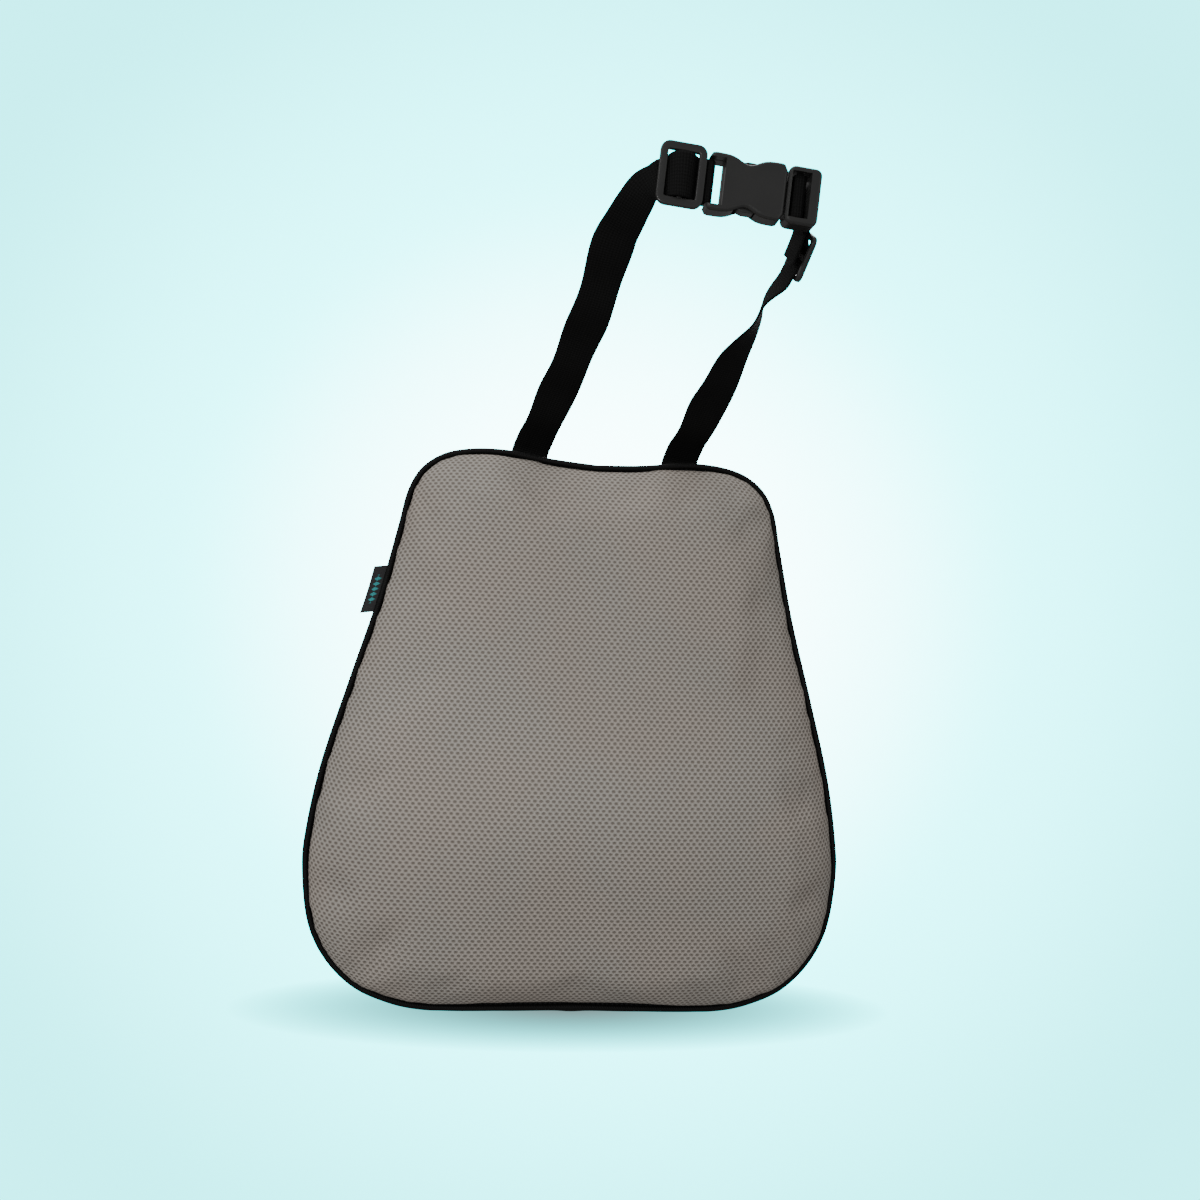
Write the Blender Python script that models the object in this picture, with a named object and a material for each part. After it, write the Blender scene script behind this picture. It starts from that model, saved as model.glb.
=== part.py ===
"""Lumbar support cushion with a webbing loop, side-release buckle and two slide adjusters.

The cushion stands on its base. Origin: centre of the base. +Z up, -Y is the padded front,
+X is to the right when facing the front. All sizes in metres.
"""

import math

import bmesh
import bpy
import numpy as np
from mathutils import Matrix, Vector

MM = 0.001
GAP = 0.3 * MM

# --- cushion -----------------------------------------------------------------------------
# Half of the bell outline, from the middle of the base to the middle of the top: (x, z).
BELL_MM = (
    (0, 0), (98, 0), (121, 5.5), (141, 14.5), (159, 31.5), (171, 54), (177, 93), (176, 112),
    (170, 151), (155, 209), (139.5, 266), (130, 311), (125, 335), (117.5, 349.5),
    (104, 360), (86, 365), (62, 366), (30, 362), (0, 360),
)
CENTRE = (0.0, 0.170)        # point that the front surface is drawn towards
OUTLINE_POINTS = 84
BACK_Y = 34.0 * MM           # outer face of the back panel
SEAM_FRONT_LOW = -36.0 * MM  # Y of the front seam at the base
SEAM_FRONT_HIGH = -8.0 * MM  # Y of the front seam at the top
SEAM_BACK = 30.0 * MM
HEIGHT = 366.0 * MM
ROLL = 20.0 * MM             # height of the rolled edge of the front
CROWN = 5.0 * MM
LUMBAR = 15.0 * MM           # extra height of the lumbar bulge
LUMBAR_Z = 118.0 * MM
LUMBAR_SPREAD = 75.0 * MM
PIPING_R = 1.9 * MM
PIPING_INSET = 2.0 * MM
SEAM_CLEAR = PIPING_R + GAP
PANEL = 3.0 * MM             # spacer-mesh front
SKIN_INSET = 4.3 * MM        # inner face of the cover
BACK_PANEL = 5.0 * MM
POCKET = 2.0 * MM            # room for the zip slider behind the back panel
LINER = 0.8 * MM
RINGS = (1.0, 0.985, 0.965, 0.94, 0.905, 0.86, 0.79, 0.69, 0.56, 0.42, 0.27, 0.12)

# --- zip, low on the back -----------------------------------------------------------------
ZIP_Z = 78.0 * MM
ZIP_HALF = 131.0 * MM
SLOT_HALF = 135.0 * MM
SLOT_HALF_H = 8.0 * MM
COIL_GAP = 1.4 * MM
ZIP_SLIDER_X = -121.0 * MM   # the zip is closed with its slider at this end

# --- webbing and hardware -----------------------------------------------------------------
WEB_W = 25.0 * MM
WEB_T = 1.5 * MM
PIVOT = Vector((0.0, 10.0 * MM, 369.0 * MM))   # the loop's hinge line runs along X here
AXIS_TILT = math.radians(3.5)                  # the buckle drops this much to the right
FACE = Vector((85.8, -128.0, 505.5)) * MM      # where plug and socket meet, adjuster plane
LIFT = 4.5 * MM                                # the buckle lies this far behind that plane
SLIDER_L, SLIDER_W, SLIDER_T = 27.0 * MM, 36.0 * MM, 3.0 * MM
BAR = 3.0 * MM
SOCKET_L, SOCKET_W, BUCKLE_T = 46.5 * MM, 33.0 * MM, 12.0 * MM
WALL = 1.8 * MM
PLUG_L = 20.0 * MM
LEFT_SLIDER_U = -61.0 * MM
RIGHT_SLIDER = Vector((105.5, -97.0, 483.5)) * MM
EDGE_BEND = 11.0 * MM        # radius of the webbing's turn from the plug down to its adjuster


def clear_scene():
    for obj in list(bpy.data.objects):
        bpy.data.objects.remove(obj)


def material(name, colour, roughness=0.9, metallic=0.0):
    found = bpy.data.materials.get(name)
    if found:
        return found
    made = bpy.data.materials.new(name)
    made.use_nodes = True
    shader = made.node_tree.nodes["Principled BSDF"]
    shader.inputs["Base Color"].default_value = (*colour, 1)
    shader.inputs["Roughness"].default_value = roughness
    shader.inputs["Metallic"].default_value = metallic
    made.diffuse_color = (*colour, 1)
    return made


def finish(name, bm, mat, smooth=True):
    """Makes one object from a bmesh, with its faces turned outwards."""
    bmesh.ops.recalc_face_normals(bm, faces=bm.faces)
    mesh = bpy.data.meshes.new(name)
    bm.to_mesh(mesh)
    bm.free()
    mesh.materials.append(mat)
    for face in mesh.polygons:
        face.use_smooth = smooth
    obj = bpy.data.objects.new(name, mesh)
    bpy.context.scene.collection.objects.link(obj)
    return obj


def helper(obj):
    obj.hide_render = True
    obj.display_type = "WIRE"
    return obj


def cut(obj, cutter):
    boolean = obj.modifiers.new("cut_" + cutter.name, "BOOLEAN")
    boolean.operation = "DIFFERENCE"
    boolean.solver = "EXACT"
    boolean.object = cutter
    return obj


def origin_to(obj, point):
    """Moves an object's origin without moving its shape."""
    obj.data.transform(Matrix.Translation(-Vector(point)))
    obj.location = point
    return obj


# --- outline of the cushion ---------------------------------------------------------------
def spline(points, count):
    """Evenly spaced points on a centripetal curve through the given ones."""
    points = np.array(points, float)
    ends = np.vstack([2 * points[0] - points[1], points, 2 * points[-1] - points[-2]])
    fine = []
    for i in range(1, len(ends) - 2):
        p0, p1, p2, p3 = ends[i - 1 : i + 3]
        t0 = 0.0
        t1 = t0 + np.linalg.norm(p1 - p0) ** 0.5
        t2 = t1 + np.linalg.norm(p2 - p1) ** 0.5
        t3 = t2 + np.linalg.norm(p3 - p2) ** 0.5
        for t in np.linspace(t1, t2, 24, endpoint=False):
            a1 = (t1 - t) / (t1 - t0) * p0 + (t - t0) / (t1 - t0) * p1
            a2 = (t2 - t) / (t2 - t1) * p1 + (t - t1) / (t2 - t1) * p2
            a3 = (t3 - t) / (t3 - t2) * p2 + (t - t2) / (t3 - t2) * p3
            b1 = (t2 - t) / (t2 - t0) * a1 + (t - t0) / (t2 - t0) * a2
            b2 = (t3 - t) / (t3 - t1) * a2 + (t - t1) / (t3 - t1) * a3
            fine.append((t2 - t) / (t2 - t1) * b1 + (t - t1) / (t2 - t1) * b2)
    fine.append(points[-1])
    fine = np.array(fine)
    run = np.concatenate([[0], np.cumsum(np.linalg.norm(np.diff(fine, axis=0), axis=1))])
    even = np.linspace(0, run[-1], count)
    return np.column_stack([np.interp(even, run, fine[:, k]) for k in range(fine.shape[1])])


def bell():
    """The outer outline as a closed loop of (x, z), anticlockwise seen from the front."""
    half = spline(np.array(BELL_MM) * MM, OUTLINE_POINTS // 2 + 1)
    half[:, 1] = np.clip(half[:, 1], 0, HEIGHT)
    left = half[1:-1][::-1] * (-1, 1)
    return np.vstack([half, left])


def inset(loop, depth):
    """The loop moved inwards by depth."""
    along = np.roll(loop, -1, axis=0) - np.roll(loop, 1, axis=0)
    along /= np.linalg.norm(along, axis=1)[:, None]
    inward = np.column_stack([-along[:, 1], along[:, 0]])
    return loop + inward * depth


def seam_y(z):
    part = min(max(z / HEIGHT, 0), 1)
    return SEAM_FRONT_LOW + (SEAM_FRONT_HIGH - SEAM_FRONT_LOW) * part


def front_y(z, ring):
    """Y of the front's outer surface at height z, ring going from 1 at the seam to 0."""
    roll = ROLL * math.sqrt(max(0.0, 1 - ring**10))
    bulge = CROWN + LUMBAR * math.exp(-(((z - LUMBAR_Z) / LUMBAR_SPREAD) ** 2))
    return seam_y(z) - SEAM_CLEAR - roll - bulge * (1 - ring**2)


def dome_rings(bm, loop, push):
    """Rings of vertices from the rim of a loop to its middle, on the front surface."""
    rows = []
    for ring in RINGS:
        row = []
        for x, z in loop:
            px = CENTRE[0] + (x - CENTRE[0]) * ring
            pz = CENTRE[1] + (z - CENTRE[1]) * ring
            row.append(bm.verts.new((px, front_y(pz, ring) + push, pz)))
        rows.append(row)
    middle = bm.verts.new((CENTRE[0], front_y(CENTRE[1], 0) + push, CENTRE[1]))
    return rows, middle


def flat_ring(bm, loop, y):
    return [bm.verts.new((x, y, z)) for x, z in loop]


def bridge(bm, first, second):
    count = len(first)
    for i in range(count):
        j = (i + 1) % count
        bm.faces.new((first[i], first[j], second[j], second[i]))


def fan(bm, row, middle):
    for i in range(len(row)):
        bm.faces.new((row[i], row[(i + 1) % len(row)], middle))


def padded_solid(name, mat, loop, push, back):
    """A closed cushion body: domed front, straight side, flat back."""
    bm = bmesh.new()
    rows, middle = dome_rings(bm, loop, push)
    for first, second in zip(rows, rows[1:]):
        bridge(bm, first, second)
    fan(bm, rows[-1], middle)
    rear = flat_ring(bm, loop, back)
    bridge(bm, rear, rows[0])
    rear_middle = bm.verts.new((CENTRE[0], back, CENTRE[1]))
    fan(bm, rear, rear_middle)
    return finish(name, bm, mat)


def front_panel(mat, outline):
    outer = inset(outline, 1.0 * MM)
    inner = inset(outline, SKIN_INSET)
    bm = bmesh.new()
    rows, middle = dome_rings(bm, outer, 0.0)
    for first, second in zip(rows, rows[1:]):
        bridge(bm, first, second)
    fan(bm, rows[-1], middle)
    under, under_middle = dome_rings(bm, inner, PANEL)
    for vert in under[0]:
        vert.co.y = seam_y(vert.co.z) - SEAM_CLEAR
    for first, second in zip(under, under[1:]):
        bridge(bm, first, second)
    fan(bm, under[-1], under_middle)
    bridge(bm, rows[0], under[0])
    return finish("front_panel", bm, mat)


def side_band(mat, outline):
    """The gusset between the two pipings, crowned, with a flat middle strip."""
    bm = bmesh.new()
    rows = []
    profile = (
        (1.5, 0, 0), (0.4, 0, 3.0), (0.0, 0, 8.0), (0.0, 1, -8.0), (0.4, 1, -3.0),
        (1.5, 1, 0), (SKIN_INSET / MM, 1, 0), (SKIN_INSET / MM, 0, 0),
    )
    for depth, end, offset in profile:
        loop = inset(outline, depth * MM)
        row = []
        for x, z in loop:
            front = seam_y(z) + SEAM_CLEAR
            rear = SEAM_BACK - SEAM_CLEAR
            y = (rear if end else front) + offset * MM
            row.append(bm.verts.new((x, y, z)))
        rows.append(row)
    for first, second in zip(rows, rows[1:] + rows[:1]):
        bridge(bm, first, second)
    return finish("side_band", bm, mat)


def piping(name, mat, outline, y_at):
    bm = bmesh.new()
    rows = []
    for k in range(8):
        turn = 2 * math.pi * (k + 0.5) / 8
        loop = inset(outline, PIPING_INSET + PIPING_R * math.cos(turn))
        side = PIPING_R * math.sin(turn)
        rows.append([bm.verts.new((x, y_at(z) + side, z)) for x, z in loop])
    for first, second in zip(rows, rows[1:] + rows[:1]):
        bridge(bm, first, second)
    return finish(name, bm, mat)


def box(name, mat, low, high, rounded=0.0):
    """A box between two corners, in metres, its edges rounded if asked."""
    bm = bmesh.new()
    bmesh.ops.create_cube(bm, size=1)
    size = Vector(high) - Vector(low)
    middle = (Vector(high) + Vector(low)) / 2
    bmesh.ops.transform(bm, matrix=Matrix.LocRotScale(middle, None, size), verts=bm.verts)
    if rounded:
        bmesh.ops.bevel(
            bm, geom=bm.edges, offset=rounded, segments=2, profile=0.5, affect="EDGES"
        )
    return finish(name, bm, mat, smooth=False)


def back_panel(mat, outline):
    loop = inset(outline, SKIN_INSET)
    bm = bmesh.new()
    bridge(bm, flat_ring(bm, loop, BACK_Y), flat_ring(bm, loop, BACK_Y - BACK_PANEL))
    bmesh.ops.holes_fill(bm, edges=bm.edges)
    panel = finish("back_panel", bm, mat, smooth=False)
    slot = box(
        "zip_slot_cutter", mat,
        (-SLOT_HALF, BACK_Y - 10 * MM, ZIP_Z - SLOT_HALF_H),
        (SLOT_HALF, BACK_Y + 5 * MM, ZIP_Z + SLOT_HALF_H),
    )
    return cut(panel, helper(slot))


def inner_liner(mat, outline):
    """The bag round the foam, with a slit in its back behind the zip."""
    outer = inset(outline, SKIN_INSET + GAP)
    rear = BACK_Y - BACK_PANEL - POCKET
    bag = padded_solid("inner_liner", mat, outer, PANEL + GAP, rear)
    inner = inset(outline, SKIN_INSET + GAP + LINER)
    hollow = padded_solid(
        "liner_hollow_cutter", mat, inner, PANEL + GAP + LINER, rear - LINER
    )
    slit = box(
        "liner_slit_cutter", mat,
        (-110 * MM, rear - 4 * MM, ZIP_Z - 3 * MM), (110 * MM, rear + 3 * MM, ZIP_Z + 3 * MM),
    )
    cut(bag, helper(hollow))
    return cut(bag, helper(slit))


def foam_core(mat, outline):
    depth = SKIN_INSET + 2 * GAP + LINER
    rear = BACK_Y - BACK_PANEL - POCKET - LINER - GAP
    return padded_solid("foam_core", mat, inset(outline, depth), PANEL + 2 * GAP + LINER, rear)


# --- zip ---------------------------------------------------------------------------------
def zip_parts(tape, coil, metal):
    face = BACK_Y - BACK_PANEL
    inner = COIL_GAP / 2
    for side, sign in (("upper", 1), ("lower", -1)):
        near = ZIP_Z + sign * inner
        far = ZIP_Z + sign * (SLOT_HALF_H - GAP)
        coil_far = ZIP_Z + sign * (inner + 2.0 * MM)
        low, high = min(near, far), max(near, far)
        box("zip_tape_" + side, tape,
            (-ZIP_HALF, face - GAP, low), (ZIP_HALF, face + 0.3 * MM, high))
        low, high = min(near, coil_far), max(near, coil_far)
        box("zip_coil_" + side, coil,
            (-ZIP_HALF, face + 0.6 * MM, low), (ZIP_HALF, face + 2.2 * MM, high))
    for side, sign in (("left", -1), ("right", 1)):
        near, far = ZIP_HALF + GAP, SLOT_HALF - 2 * GAP
        box("zip_stop_" + side, metal,
            (min(sign * near, sign * far), face + 0.4 * MM, ZIP_Z - 3.2 * MM),
            (max(sign * near, sign * far), face + 2.6 * MM, ZIP_Z + 3.2 * MM), 0.3 * MM)
    zip_slider(metal, face)
    zip_pull(metal, face)


def join_boxes(name, mat, corners):
    """One solid made of boxes that overlap, joined by exact unions."""
    base = box(name, mat, *corners[0])
    for number, pair in enumerate(corners[1:]):
        other = helper(box(f"{name}_add_{number}", mat, *pair))
        boolean = base.modifiers.new(f"add_{number}", "BOOLEAN")
        boolean.operation = "UNION"
        boolean.solver = "EXACT"
        boolean.object = other
    return base




def zip_slider(metal, face):
    x = ZIP_SLIDER_X
    join_boxes("zip_slider", metal, (
        ((x - 5 * MM, face + 2.5 * MM, ZIP_Z - 4 * MM), (x + 5 * MM, face + 3.4 * MM, ZIP_Z + 4 * MM)),
        ((x - 2 * MM, face - 1.3 * MM, ZIP_Z - 0.4 * MM), (x + 2 * MM, face + 2.6 * MM, ZIP_Z + 0.4 * MM)),
        ((x - 5 * MM, face - 1.6 * MM, ZIP_Z - 4 * MM), (x + 5 * MM, face - 0.6 * MM, ZIP_Z + 4 * MM)),
        ((x - 0.5 * MM, face + 3.3 * MM, ZIP_Z - 0.8 * MM),
         (x + 0.5 * MM, face + 4.6 * MM, ZIP_Z + 0.8 * MM)),
    ))


def zip_pull(metal, face):
    x = ZIP_SLIDER_X
    low, high = face + 3.85 * MM, face + 4.55 * MM
    pull = join_boxes("zip_pull", metal, (
        ((x + 1.0 * MM, low, ZIP_Z - 2.3 * MM), (x + 13.6 * MM, high, ZIP_Z + 2.3 * MM)),
        ((x - 0.35 * MM, low, ZIP_Z + 1.1 * MM), (x + 2 * MM, high, ZIP_Z + 2.3 * MM)),
        ((x - 0.35 * MM, low, ZIP_Z - 2.3 * MM), (x + 2 * MM, high, ZIP_Z - 1.1 * MM)),
    ))
    origin_to(pull, (x, (low + high) / 2, ZIP_Z))


# --- webbing -----------------------------------------------------------------------------
def ribbon(name, mat, stations, count):
    """A flat band through stations (point in metres, width direction, share of full width)."""
    table = np.array([[*p, *(MM * c for c in w), MM * part] for p, w, part in stations], float)
    run = spline(table, count)
    points, widths, parts = run[:, :3], run[:, 3:6], run[:, 6] / MM
    along = np.gradient(points, axis=0)
    bm = bmesh.new()
    rows = []
    for point, width, tangent, part in zip(points, widths, along, parts):
        t = Vector(tangent).normalized()
        w = Vector(width)
        w = (w - t * w.dot(t)).normalized()
        n = t.cross(w)
        corners = ((-1, -1), (1, -1), (1, 1), (-1, 1))
        rows.append([
            bm.verts.new(Vector(point) + w * (a * part * WEB_W / 2) + n * (b * WEB_T / 2))
            for a, b in corners
        ])
    for first, second in zip(rows, rows[1:]):
        bridge(bm, first, second)
    bm.faces.new(rows[0])
    bm.faces.new(rows[-1])
    return finish(name, bm, mat)


class Axes:
    """A local frame: u along the webbing, v across it, w out of its face."""

    def __init__(self, origin, u, v):
        self.origin = Vector(origin)
        self.u = Vector(u).normalized()
        v = Vector(v)
        self.v = (v - self.u * v.dot(self.u)).normalized()
        self.w = self.u.cross(self.v)

    def at(self, u, v=0.0, w=0.0):
        return self.origin + self.u * u + self.v * v + self.w * w

    def matrix(self):
        rot = Matrix((self.u, self.v, self.w)).transposed().to_4x4()
        return Matrix.Translation(self.origin) @ rot


BUCKLE = Axes(FACE, (math.cos(AXIS_TILT), 0, -math.sin(AXIS_TILT)),
              (math.sin(AXIS_TILT), 0, math.cos(AXIS_TILT)))
LEFT_ADJUST = Axes(BUCKLE.at(LEFT_SLIDER_U), BUCKLE.u, BUCKLE.v)
RIGHT_ADJUST = Axes(RIGHT_SLIDER, (0.2, -0.52, 0.83), (0.0, -0.85, -0.53))

# The webbing's weave through an adjuster: distance along it, height over its mid-plane.
WEAVE_MM = (
    (-13.5, -3.3), (-10.2, -3.1), (-7.4, -1.4), (-5, 1.0), (-2.4, 2.45), (0, 2.65),
    (2.4, 2.45), (5, 1.0), (7.6, -1.2), (10.2, -2.7), (13.0, -2.75),
)
# Where the left webbing turns into its adjuster: its shift to one edge, and its bunched width.
TURN_SHIFT_MM = (-4.3, -3.4, -2.6, -2.0, -1.5, -1.1, -0.8, -0.5, -0.3, -0.1, 0)
TURN_WIDTH = (0.78, 0.78, 0.8, 0.84, 0.88, 0.92, 0.95, 0.97, 0.98, 1, 1)


def free_run(points):
    """Stations of a free stretch, given in millimetres."""
    return [(Vector(p) * MM, w, part) for p, w, part in points]


def strap_left(mat):
    stations = free_run((
        ((-44.5, 10, 369.6), (1, 0, 0), 1), ((-40.5, -1, 380.5), (0.97, 0.17, -0.17), 1),
        ((-31, -24.5, 403), (0.9, 0.31, -0.31), 1),
        ((-22.5, -47, 425.5), (0.91, 0.29, -0.29), 1),
        ((-13, -75.9, 454.4), (0.91, 0.3, -0.3), 1), ((-7.5, -97, 480), (0.9, 0.3, -0.35), 1),
        ((-3.2, -108, 488.3), (0.86, 0.28, -0.42), 0.93),
        ((1.1, -116.5, 496), (0.8, 0.24, -0.55), 0.85),
        ((5.3, -121.5, 502.4), (0.5, 0.12, -0.85), 0.79),
    ))
    across = -LEFT_ADJUST.v
    for (u, w), v, part in zip(WEAVE_MM, TURN_SHIFT_MM, TURN_WIDTH):
        stations.append((LEFT_ADJUST.at(u * MM, v * MM, w * MM), across, part))
    bar = (
        (15.8, -2.0), (17.9, -2.65), (18.7, -4.5), (17.9, -6.35), (15.8, -7.0),
        (13.2, -6.6), (8, -5.2), (2, -4.6), (-6, -4.6),
    )
    for u, w in bar:
        stations.append((LEFT_ADJUST.at(u * MM, 0, w * MM), across, 1))
    return ribbon("strap_left", mat, stations, 170)


def edge_bend(xs):
    """The bunched webbing's turn behind the plug, from the adjuster's slope up to level."""
    stations = []
    for degrees, x, part in zip((58, 40, 20, 2), xs, (0.62, 0.58, 0.62, 0.8)):
        turn = math.radians(degrees)
        spot = Vector((x * MM, -117 * MM + EDGE_BEND * math.sin(turn),
                       504.8 * MM - EDGE_BEND * (1 - math.cos(turn))))
        stations.append((spot, (0.1, math.sin(turn), math.cos(turn)), part))
    return stations


def strap_right(mat):
    stations = free_run((
        ((60.5, 10, 369.6), (1, 0, 0), 1), ((62.8, -1.5, 379.5), (1, 0.03, -0.03), 1),
        ((67, -17, 391.3), (1, 0.05, -0.05), 1), ((71.3, -34.5, 406), (0.98, 0.12, -0.08), 1),
        ((76, -50, 420.5), (0.9, 0.4, -0.1), 1), ((82, -61.5, 434.5), (0.7, 0.66, 0.15), 1),
        ((87.8, -70, 448.1), (0.42, 0.83, 0.33), 1), ((91.4, -78.5, 459.1), (0.2, 0.86, 0.46), 1),
    ))
    across = -RIGHT_ADJUST.v
    for u, w in ((-17.5, -3.6), *WEAVE_MM):
        stations.append((RIGHT_ADJUST.at(u * MM, 0, w * MM), across, 1))
    stations += edge_bend((104.6, 102, 99.5, 97.8))
    stations += free_run((
        ((97.4, -120, 504.8), (0.06, 0, 1), 0.95), ((97.4, -123.3, 504.8), (0.06, 0, 1), 0.98),
        ((96.5, -125.7, 504.9), (0.06, 0, 1), 1), ((93.8, -126.3, 505), (0.06, 0, 1), 1),
        ((91.1, -125.7, 505.1), (0.06, 0, 1), 1), ((90.2, -123.3, 505.2), (0.06, 0, 1), 0.98),
        ((90.2, -120, 505.2), (0.06, 0, 1), 0.95),
    ))
    stations += edge_bend((98.2, 94.6, 91.6, 90.3))[::-1]
    for u, w in ((13, -5.9), (10.4, -5.2), (5, -4.8), (0, -4.8), (-5, -4.8)):
        stations.append((RIGHT_ADJUST.at(u * MM, 0, w * MM), across, 1))
    return ribbon("strap_right", mat, stations, 210)


def anchor(name, mat, outline, middle_x):
    """A stitched tab of webbing that lies on the band at the root of a strap."""
    top = outline[outline[:, 1] > HEIGHT * 0.9]
    top = top[np.argsort(top[:, 0])]
    bm = bmesh.new()
    rows = []
    for x in np.linspace(middle_x - WEB_W / 2, middle_x + WEB_W / 2, 7):
        z = float(np.interp(x, top[:, 0], top[:, 1])) + GAP
        corners = ((0.0, 0), (0.022, 0), (0.022, 1.2 * MM), (0.0, 1.2 * MM))
        rows.append([bm.verts.new((x, y, z + h)) for y, h in corners])
    for first, second in zip(rows, rows[1:]):
        bridge(bm, first, second)
    bm.faces.new(rows[0])
    bm.faces.new(rows[-1])
    return finish(name, bm, mat, smooth=False)


# --- hard parts --------------------------------------------------------------------------
def prism(name, mat, axes, shape, low, high, rounded=0.0):
    """A flat shape of (u, v) points, raised between two heights in w, its rims rounded."""
    loop = np.array(shape, float)
    ahead = np.roll(loop, -1, axis=0)
    if (loop[:, 0] * ahead[:, 1] - loop[:, 1] * ahead[:, 0]).sum() < 0:
        loop = loop[::-1]
    levels = [(0.0, 0.0)]
    if rounded:
        levels = []
        for k in range(4):
            turn = math.pi / 2 * k / 3
            levels.append((rounded * (1 - math.sin(turn)), rounded * (1 - math.cos(turn))))
    heights = [(depth, low + step) for depth, step in levels]
    heights += [(depth, high - step) for depth, step in reversed(levels)]
    bm = bmesh.new()
    rows = []
    for depth, w in heights:
        rows.append([bm.verts.new((u, v, w)) for u, v in inset(loop, depth)])
    for first, second in zip(rows, rows[1:]):
        bridge(bm, first, second)
    bm.faces.new(rows[0])
    bm.faces.new(rows[-1])
    bmesh.ops.transform(bm, matrix=axes.matrix(), verts=bm.verts)
    return finish(name, bm, mat)


def rounded_rect(u0, u1, v0, v1, radius, steps=4):
    shape = []
    corners = ((u1, v1, 0), (u0, v1, 1), (u0, v0, 2), (u1, v0, 3))
    for u, v, quarter in corners:
        cu = u - radius if u == u1 else u + radius
        cv = v - radius if v == v1 else v + radius
        for k in range(steps + 1):
            turn = math.pi / 2 * (quarter + k / steps)
            shape.append((cu + radius * math.cos(turn), cv + radius * math.sin(turn)))
    return shape


def slide_adjuster(name, mat, axes):
    half_l, half_w, half_t = SLIDER_L / 2, SLIDER_W / 2, SLIDER_T / 2
    plate = prism(
        name, mat, axes, rounded_rect(-half_l, half_l, -half_w, half_w, 4.5 * MM),
        -half_t, half_t, 0.8 * MM,
    )
    inner = half_l - BAR
    for side, sign in (("a", -1), ("b", 1)):
        near, far = sign * BAR / 2, sign * inner
        slot = prism(
            f"{name}_slot_{side}", mat, axes,
            rounded_rect(min(near, far), max(near, far), -14.2 * MM, 14.2 * MM, 1.0 * MM),
            -4 * MM, 4 * MM,
        )
        cut(plate, helper(slot))
    return origin_to(plate, axes.origin)


def oblong(u0, u1, half):
    """Corners of a rectangle from u0 to u1 and half to each side, given in millimetres."""
    return [(u1 * MM, half * MM), (u0 * MM, half * MM), (u0 * MM, -half * MM), (u1 * MM, -half * MM)]


def waisted(u0, u1, half, waist, waist_u, waist_half):
    """Outline with a smooth waist on both long sides and rounded corners."""
    upper = []
    for u in np.linspace(u0, u1, 25):
        pinch = math.exp(-(((u - waist_u) / waist_half) ** 2))
        edge = min(u - u0, u1 - u) / (4 * MM)
        corner = math.sqrt(max(0.0, 1 - (1 - min(edge, 1)) ** 2))
        upper.append((u, half - 4 * MM + 4 * MM * corner - (half - waist) * pinch))
    return upper[::-1] + [(u, -v) for u, v in upper]


def buckle_socket(mat):
    half_t = BUCKLE_T / 2
    flat = Axes(BUCKLE.at(0, 0, -LIFT), BUCKLE.u, BUCKLE.v)
    body = prism(
        "buckle_socket", mat, flat,
        waisted(-SOCKET_L, -GAP, SOCKET_W / 2, 12.2 * MM, -23 * MM, 7.0 * MM),
        -half_t, half_t, 2.0 * MM,
    )
    cavity = prism(
        "socket_cavity", mat, flat,
        rounded_rect(-32 * MM, 5 * MM, -14.6 * MM, 14.6 * MM, 1.0 * MM),
        -half_t + WALL, half_t - WALL,
    )
    slot = prism("socket_web_slot", mat, flat, oblong(-43.9, -36.7, 13.2), -9 * MM, 9 * MM)
    bar_over = prism("socket_bar_over", mat, flat, oblong(-52, -36.5, 13.4), 1.1 * MM, 8 * MM)
    bar_under = prism("socket_bar_under", mat, flat, oblong(-52, -36.4, 13.5), -8 * MM, -1.1 * MM)
    for cutter in (cavity, slot, bar_over, bar_under):
        cut(body, helper(cutter))
    return body


def buckle_plug(mat):
    flat = Axes(BUCKLE.at(0, 0, -LIFT), BUCKLE.u, BUCKLE.v)
    half_t = BUCKLE_T / 2
    body = prism(
        "buckle_plug", mat, flat,
        rounded_rect(GAP, PLUG_L, -SOCKET_W / 2, SOCKET_W / 2, 4.0 * MM, 6),
        -half_t, half_t, 2.0 * MM,
    )
    tongue = prism(
        "plug_tongue", mat, flat,
        rounded_rect(-25 * MM, 1.5 * MM, -3.0 * MM, 3.0 * MM, 1.4 * MM), -2.6 * MM, 2.6 * MM,
    )
    union = body.modifiers.new("tongue", "BOOLEAN")
    union.operation = "UNION"
    union.solver = "EXACT"
    union.object = helper(tongue)
    slots = (
        ("plug_slot_a", oblong(2.2, 6.3, 13.2), -9.0, 9.0),
        ("plug_slot_b", oblong(9.7, 13.6, 13.2), -9.0, 9.0),
        ("plug_bar_over", oblong(6.0, 10.0, 13.3), 1.5, 8.0),
        ("plug_bar_under", oblong(6.0, 10.0, 13.1), -8.0, -1.5),
    )
    for name, shape, low, high in slots:
        cut(body, helper(prism(name, mat, flat, shape, low * MM, high * MM)))
    return origin_to(body, BUCKLE.at(0, 0, -LIFT))


def prong(name, mat, sign):
    """One springing arm of the plug, with the button head that shows at the socket's waist."""
    flat = Axes(BUCKLE.at(0, 0, -LIFT), BUCKLE.u, BUCKLE.v)
    outer = [
        (-1.0, 13.0), (-12.0, 12.6), (-15.5, 13.0), (-17.5, 14.1), (-20.0, 14.35),
        (-23.5, 14.35), (-26.0, 13.6), (-28.0, 11.5), (-28.6, 9.4),
    ]
    inner = [(-27.0, 8.2), (-18.0, 8.4), (-12.0, 9.2), (-1.0, 9.8)]
    shape = [(u * MM, sign * v * MM) for u, v in outer + inner]
    arm = prism(name, mat, flat, shape, -3.4 * MM, 3.4 * MM, 0.6 * MM)
    return origin_to(arm, flat.at(-2.0 * MM, sign * 11.4 * MM, 0))


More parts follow.
